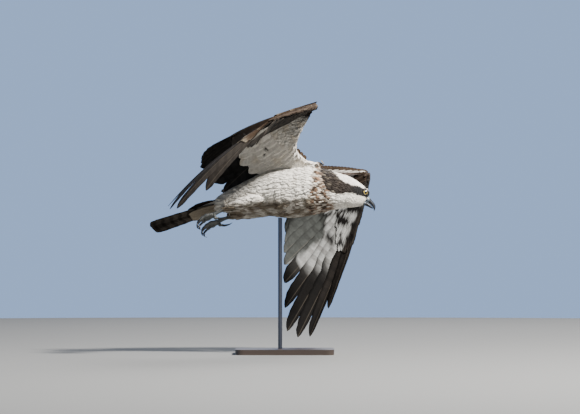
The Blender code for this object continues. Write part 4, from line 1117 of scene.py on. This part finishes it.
UPPER_BILL = [(0.0120, -0.0002, -0.0168, 0.0086), (0.0150, -0.0008, -0.0166, 0.0088),
              (0.0200, -0.0020, -0.0160, 0.0081), (0.0255, -0.0043, -0.0156, 0.0069),
              (0.0320, -0.0062, -0.0164, 0.0057), (0.0385, -0.0086, -0.0186, 0.0044),
              (0.0435, -0.0124, -0.0214, 0.0032), (0.0464, -0.0178, -0.0244, 0.0022),
              (0.0476, -0.0232, -0.0262, 0.0012), (0.0470, -0.0284, -0.0290, 0.0004)]
LOWER_BILL = [(0.0120, -0.0168, -0.0274, 0.0072), (0.0150, -0.0169, -0.0272, 0.0071),
              (0.0220, -0.0162, -0.0256, 0.0061), (0.0300, -0.0168, -0.0243, 0.0049),
              (0.0370, -0.0190, -0.0235, 0.0034), (0.0412, -0.0208, -0.0226, 0.0014)]


def ring_mesh(name, rings):
    """A smooth mesh through an array of rings, each end drawn in to a pinhole round its middle."""
    rings = np.asarray(rings, float)
    rows, sides, _ = rings.shape
    ends = [rings[k].mean(0) + (rings[k] - rings[k].mean(0)) * 0.02 for k in (0, -1)]
    rings = np.concatenate([ends[0][None], rings, ends[1][None]])
    ids = np.arange((rows + 2) * sides).reshape(rows + 2, sides)
    over = np.roll(ids, -1, axis=1)
    faces = np.stack([ids[:-1], over[:-1], over[1:], ids[1:]], -1).reshape(-1, 4)
    points = rings.reshape(-1, 3)
    if signed_volume(points - points.mean(0), faces) < 0:
        faces = faces[:, ::-1]
    return points, faces


def joined(name, pieces, colours, finish, replaced):
    """One smooth object from several lists of points and faces, with a colour each point."""
    points = np.concatenate([p for p, _ in pieces])
    starts = np.cumsum([0] + [len(p) for p, _ in pieces[:-1]])
    faces = np.concatenate([f + s for (_, f), s in zip(pieces, starts)])
    mesh = mesh_from(name, points, faces)
    mesh.polygons.foreach_set("use_smooth", np.ones(len(faces), bool))
    store(mesh, "plumage", "FLOAT_COLOR", np.concatenate(colours))
    mesh.materials.append(finish)
    item = placed(name, mesh)
    if replaced:
        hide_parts(*replaced)
    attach(item, "root")
    return item


def painted_finish(name, roughness, scale, relief_depth, coat):
    finish, tree, shader = new_material(name, roughness)
    shader.inputs["Coat Weight"].default_value = coat
    colour, mottle = mottled_paint(tree, {"Scale": scale}, {"To Min": 0.7, "To Max": 1.3})
    tree.links.new(colour, shader.inputs["Base Color"])
    add_relief(tree, shader, mottle, relief_depth, 0.0003)
    return finish


horn = painted_finish("horn", 0.36, 420.0, 0.15, 0.1)
CERE = np.array((0.085, 0.105, 0.125))
HORN = np.array((0.008, 0.0085, 0.010))


def bill_half(table, rings, sides, keel):
    at = np.linspace(0.0, len(table) - 1.0, rings)
    x, high, low, half = curve_through(table, at).T
    turn = full_turn(sides)
    round_ = np.cos(turn)[None, :] * np.maximum(half, 0.0003)[:, None]
    lift = np.sin(turn)
    tall = np.where(lift > 0, lift ** (1.0 if keel > 0 else 0.8), -np.abs(lift) ** (0.8 if keel > 0 else 1.0))
    z = (high + low)[:, None] / 2 + tall[None, :] * (high - low)[:, None] / 2
    return np.stack([np.broadcast_to(x[:, None], z.shape), round_, z], -1)


def nostril(grid, side, wide, tall):
    """How far places on the upper bill lie in one side's slit nostril, from 0 to 1."""
    ahead, above = grid[..., 0] - 0.0226, grid[..., 2] + 0.0062
    slit = np.exp(-((ahead - 0.5 * above) / wide) ** 2 - (above / tall) ** 2)
    return slit * (grid[..., 1] * side > 0.003)


CERE_EDGE = 0.0205
upper = bill_half(UPPER_BILL, 56, 32, 1.0)
for side in (1.0, -1.0):
    upper[..., 1] -= side * 0.0014 * nostril(upper, side, 0.0019, 0.0009)
upper[..., 1] *= 1.0 + 0.05 * np.exp(-((upper[..., 0] - CERE_EDGE) / 0.004) ** 2)
horny = smooth((upper[..., 0] - CERE_EDGE + 0.12 * (upper[..., 2] + 0.008)) / 0.0022)
upper_paint = blend(CERE, HORN, horny[..., None])
for side in (1.0, -1.0):
    upper_paint = blend(upper_paint, HORN * 0.4, nostril(upper, side, 0.0020, 0.0010)[..., None])
lower = bill_half(LOWER_BILL, 36, 32, -1.0)
lower_paint = blend(CERE * 0.8, HORN, smooth((lower[..., 0] - 0.0170) / 0.003)[..., None])


def capped(grid):
    return np.concatenate([grid[:1], grid, grid[-1:]]).reshape(-1, 3)


for name, grid, paint in (("bill_upper", upper, upper_paint), ("bill_lower", lower, lower_paint)):
    joined(name + "_horn", [ring_mesh(name, head_to_room(grid))], [capped(paint)], horn, (name,))


# Eyes: glossy balls with a yellow iris round a black pupil, sunk behind dark rims of
# bare skin, with the fleshy corner of the mouth below them.

IRIS_RADIUS = 0.0075
iris, tree, shader = new_material("iris", 0.05)
shader.inputs["Coat Weight"].default_value = 0.5
shader.inputs["Coat Roughness"].default_value = 0.02
ring = node(tree, "Attribute", attribute_name="ring")
ramp = node(tree, "ValToRGB", {"Fac": math_node(tree, "MULTIPLY", ring.outputs["Fac"], 1.0 / IRIS_RADIUS)})
stops = ((0.0, (0.002, 0.002, 0.002)), (0.44, (0.001, 0.001, 0.001)), (0.47, (0.42, 0.26, 0.02)),
         (0.60, (0.78, 0.56, 0.035)), (0.78, (0.62, 0.40, 0.02)), (0.86, (0.03, 0.022, 0.012)))
while len(ramp.color_ramp.elements) < len(stops):
    ramp.color_ramp.elements.new(0.5)
for element, (place_, colour) in zip(ramp.color_ramp.elements, stops):
    element.position = place_
    element.color = colour + (1.0,)
fibres = node(tree, "TexNoise", {"Scale": 900.0, "Vector": object_place(tree)})
streaks = math_node(tree, "ADD", fibres.outputs["Fac"], 0.45)
tree.links.new(scaled(tree, ramp.outputs["Color"], streaks), shader.inputs["Base Color"])

bare_skin = painted_finish("bare_skin", 0.5, 500.0, 0.4, 0.0)
EYE_RADIUS, EYE_SPREAD = 0.0100, 0.0128
LID_RADIUS = 0.0064
lids, lid_paints = [], []
for name, side in (("left", 1.0), ("right", -1.0)):
    gaze = unit((0.34, side, 0.02))
    across = unit(np.cross((0.0, 0.0, 1.0), gaze))
    upward = np.cross(gaze, across)
    tilt = np.concatenate([np.linspace(0.002, 0.9, 44), np.linspace(0.95, math.pi - 0.002, 20)])
    turn = full_turn(48)
    bulge = EYE_RADIUS * (1.0 + 0.055 * np.exp(-(tilt / 0.55) ** 2))
    rings = (gaze * (np.cos(tilt) * bulge)[:, None, None]
             + (across * np.cos(turn)[:, None] + upward * np.sin(turn)[:, None])[None]
             * (np.sin(tilt) * bulge)[:, None, None])
    rings = rings + (0.0, side * EYE_SPREAD, 0.0)
    points, faces = ring_mesh("eye", head_to_room(rings))
    eye = joined("eye_%s_ball" % name, [(points, faces)], [np.zeros((len(points), 3))], iris,
                 ("eye_" + name,))
    away = np.sin(tilt) * EYE_RADIUS * np.where(tilt < 1.5, 1, 9)
    store(eye.data, "ring", "FLOAT", np.repeat(np.concatenate([[0.0], away, [9.0]]), 48))
    rim = full_turn(48)
    opening = LID_RADIUS * (1.0 - 0.12 * np.abs(np.sin(rim)) - 0.08 * np.maximum(np.sin(rim), 0.0))
    tube_turn = full_turn(12)
    outwards = across * np.cos(rim)[:, None] + upward * np.sin(rim)[:, None]
    depth = np.sqrt(np.maximum((EYE_RADIUS * 1.035) ** 2 - opening ** 2, 1e-8))
    centre = gaze * depth[:, None] + outwards * opening[:, None] + (0.0, side * EYE_SPREAD, 0.0)
    thick = 0.0009 + 0.0006 * np.maximum(np.sin(rim), 0.0)
    lid = centre[:, None] + (outwards[:, None] * np.cos(tube_turn)[:, None] * 1.2
                             + gaze * np.sin(tube_turn)[:, None] * 0.8) * thick[:, None, None]
    ids = np.arange(48 * 12).reshape(48, 12)
    over, ahead = np.roll(ids, -1, 1), np.roll(ids, -1, 0)
    lid_faces = np.stack([ids, over, np.roll(over, -1, 0), ahead], -1).reshape(-1, 4)
    points = head_to_room(lid).reshape(-1, 3)
    if signed_volume(points - points.mean(0), lid_faces) < 0:
        lid_faces = lid_faces[:, ::-1]
    lids.append((points, lid_faces))
    lid_paints.append(np.tile(np.array((0.035, 0.034, 0.036)), (len(points), 1)))
    t = np.linspace(0.0, 1.0, 14)[:, None]
    gape = blend(np.array((0.0240, side * 0.0062, -0.0160)), np.array((0.0065, side * 0.0150, -0.0222)), t)
    gape[:, 2] += 0.0012 * np.sin(math.pi * t[:, 0])
    thick = 0.0009 * (1.0 - 0.6 * t[:, 0])
    rings = gape[:, None] + np.stack([np.zeros(12), np.cos(tube_turn), np.sin(tube_turn)], -1)[None] \
        * thick[:, None, None]
    lids.append(ring_mesh("gape", head_to_room(rings)))
    lid_paints.append(np.tile(CERE * 0.8, (len(lids[-1][0]), 1)))
joined("lids_and_gape", lids, lid_paints, bare_skin, ())


# Legs: bare scaly shins and toes clenched under the tail, with long round claws.

def tube_rings(path, radii, sides, rings):
    """Rings of a smooth tube through a short path, wider where it has joints."""
    at = np.linspace(0.0, len(path) - 1.0, rings)
    centre = curve_through(path, at)
    radius = curve_through(np.asarray(radii)[:, None], at)[:, 0]
    line = unit(np.gradient(centre, axis=0))
    across = unit(np.cross(line, (0.1, 0.2, 1.0)))
    above = np.cross(line, across)
    turn = full_turn(sides)
    spoke = across[:, None] * np.cos(turn)[:, None] + above[:, None] * np.sin(turn)[:, None]
    return centre[:, None] + spoke * radius[:, None, None]


scaly, tree, shader = new_material("scaly_skin", 0.55)
paint = node(tree, "Attribute", attribute_name="plumage")
scales = node(tree, "TexVoronoi", {"Scale": 620.0, "Vector": object_place(tree)}, feature="DISTANCE_TO_EDGE")
edges = node(tree, "MapRange", {"From Max": 0.25, "To Min": 0.45, "Value": scales.outputs["Distance"]})
edges = edges.outputs["Result"]
tree.links.new(scaled(tree, paint.outputs["Color"], edges), shader.inputs["Base Color"])
add_relief(tree, shader, edges, 0.7, 0.0004)

SHIN_RADII = (0.0056, 0.0050, 0.0042, 0.0052, 0.0052)
CLAW_RADII = (0.0028, 0.0030, 0.0025, 0.0016, 0.0003)
LEG = np.array((0.135, 0.140, 0.130))
BALL = np.array((-0.2760, 0.0200, -0.0955))
for name, side in (("left", 1.0), ("right", -1.0)):
    flip = np.array((1.0, side, 1.0))
    shin = np.array(((-0.225, 0.0235, -0.0812), (-0.240, 0.0218, -0.0838), (-0.256, 0.0210, -0.0880),
                     (-0.270, 0.0205, -0.0925), (-0.280, 0.0203, -0.0962)))
    bare = [ring_mesh("shin", to_room(tube_rings(shin * flip, SHIN_RADII, 20, 28)))]
    claws = []
    for toe_name, spread in (("hind", 0.0), ("inner", -0.0095), ("middle", 0.0), ("outer", 0.0095)):
        if toe_name == "hind":
            toe = np.array((BALL + (0.004, 0, 0), (-0.2690, 0.02, -0.1040), (-0.2600, 0.02, -0.1075)))
            claw = np.array(((-0.2605, 0.02, -0.1074), (-0.2570, 0.02, -0.1085), (-0.2510, 0.02, -0.1085),
                             (-0.2420, 0.02, -0.1072), (-0.2340, 0.02, -0.1030)))
        else:
            reach = 0.0035 if toe_name == "middle" else 0.0
            aside = np.array((0.0, spread, 0.0))
            toe = np.array((BALL + aside * 0.3 + (0.004, 0, 0.001), BALL + aside * 0.45,
                            (-0.2880 - reach, 0.02 + spread, -0.0985),
                            (-0.3000 - reach, 0.02 + spread, -0.1030),
                            (-0.3090 - reach, 0.02 + spread, -0.1095)))
            claw = np.array(((-0.3082 - reach, 0.02 + spread, -0.1088),
                             (-0.3120 - reach, 0.02 + spread, -0.1125),
                             (-0.3150 - reach, 0.02 + spread * 0.9, -0.1180),
                             (-0.3140 - reach, 0.02 + spread * 0.8, -0.1270),
                             (-0.3060 - reach, 0.02 + spread * 0.7, -0.1335)))
        at = np.linspace(0.0, 1.0, 30)
        knuckle = 1.0 + 0.16 * np.cos(at * 2 * math.pi * (len(toe) - 1) * 0.9)
        rings = tube_rings(toe * flip, np.linspace(0.0050, 0.0034, len(toe)), 18, 30)
        middle = rings.mean(1, keepdims=True)
        bare.append(ring_mesh("toe", to_room(middle + (rings - middle) * knuckle[:, None, None])))
        claws.append(ring_mesh("claw", to_room(tube_rings(claw * flip, CLAW_RADII, 14, 24))))
    joined("foot_%s_skin" % name, bare, [np.tile(LEG, (len(p), 1)) for p, _ in bare], scaly,
           ("tarsus_" + name, "foot_" + name))
    joined("claws_%s_horn" % name, claws, [np.tile(HORN, (len(p), 1)) for p, _ in claws], horn,
           tuple("claw_%s_%s" % (name, t) for t in ("hind", "inner", "middle", "outer")))


# Stand: a flat base of dark stained wood and one satin steel rod, as a museum would
# hold a bird in flight. It keeps the solids' own shapes.

steel, tree, shader = new_material("satin_steel", 0.35)
shader.inputs["Metallic"].default_value = 1.0
shader.inputs["Base Color"].default_value = (0.10, 0.10, 0.11, 1.0)
brushed = node(tree, "TexNoise", {"Scale": 300.0, "Vector": object_place(tree)})
vary = node(tree, "MapRange", {"To Min": 0.28, "To Max": 0.42, "Value": brushed.outputs["Fac"]})
tree.links.new(vary.outputs["Result"], shader.inputs["Roughness"])

wood, tree, shader = new_material("dark_wood", 0.42)
stretch = node(tree, "Mapping", {"Scale": (1.2, 14.0, 14.0), "Vector": object_place(tree)})
figure = node(tree, "TexNoise", {"Scale": 6.0, "Detail": 8.0, "Vector": stretch.outputs["Vector"]})
figure = figure.outputs["Fac"]
stain = node(tree, "Mix", {"A": (0.018, 0.013, 0.010, 1.0), "B": (0.055, 0.036, 0.024, 1.0),
                           "Factor": figure}, data_type="RGBA")
tree.links.new(stain.outputs["Result"], shader.inputs["Base Color"])
add_relief(tree, shader, figure, 0.15)

for name, finish in (("stand_base", wood), ("stand_rod", steel)):
    nodes[name].data.materials.clear()
    nodes[name].data.materials.append(finish)
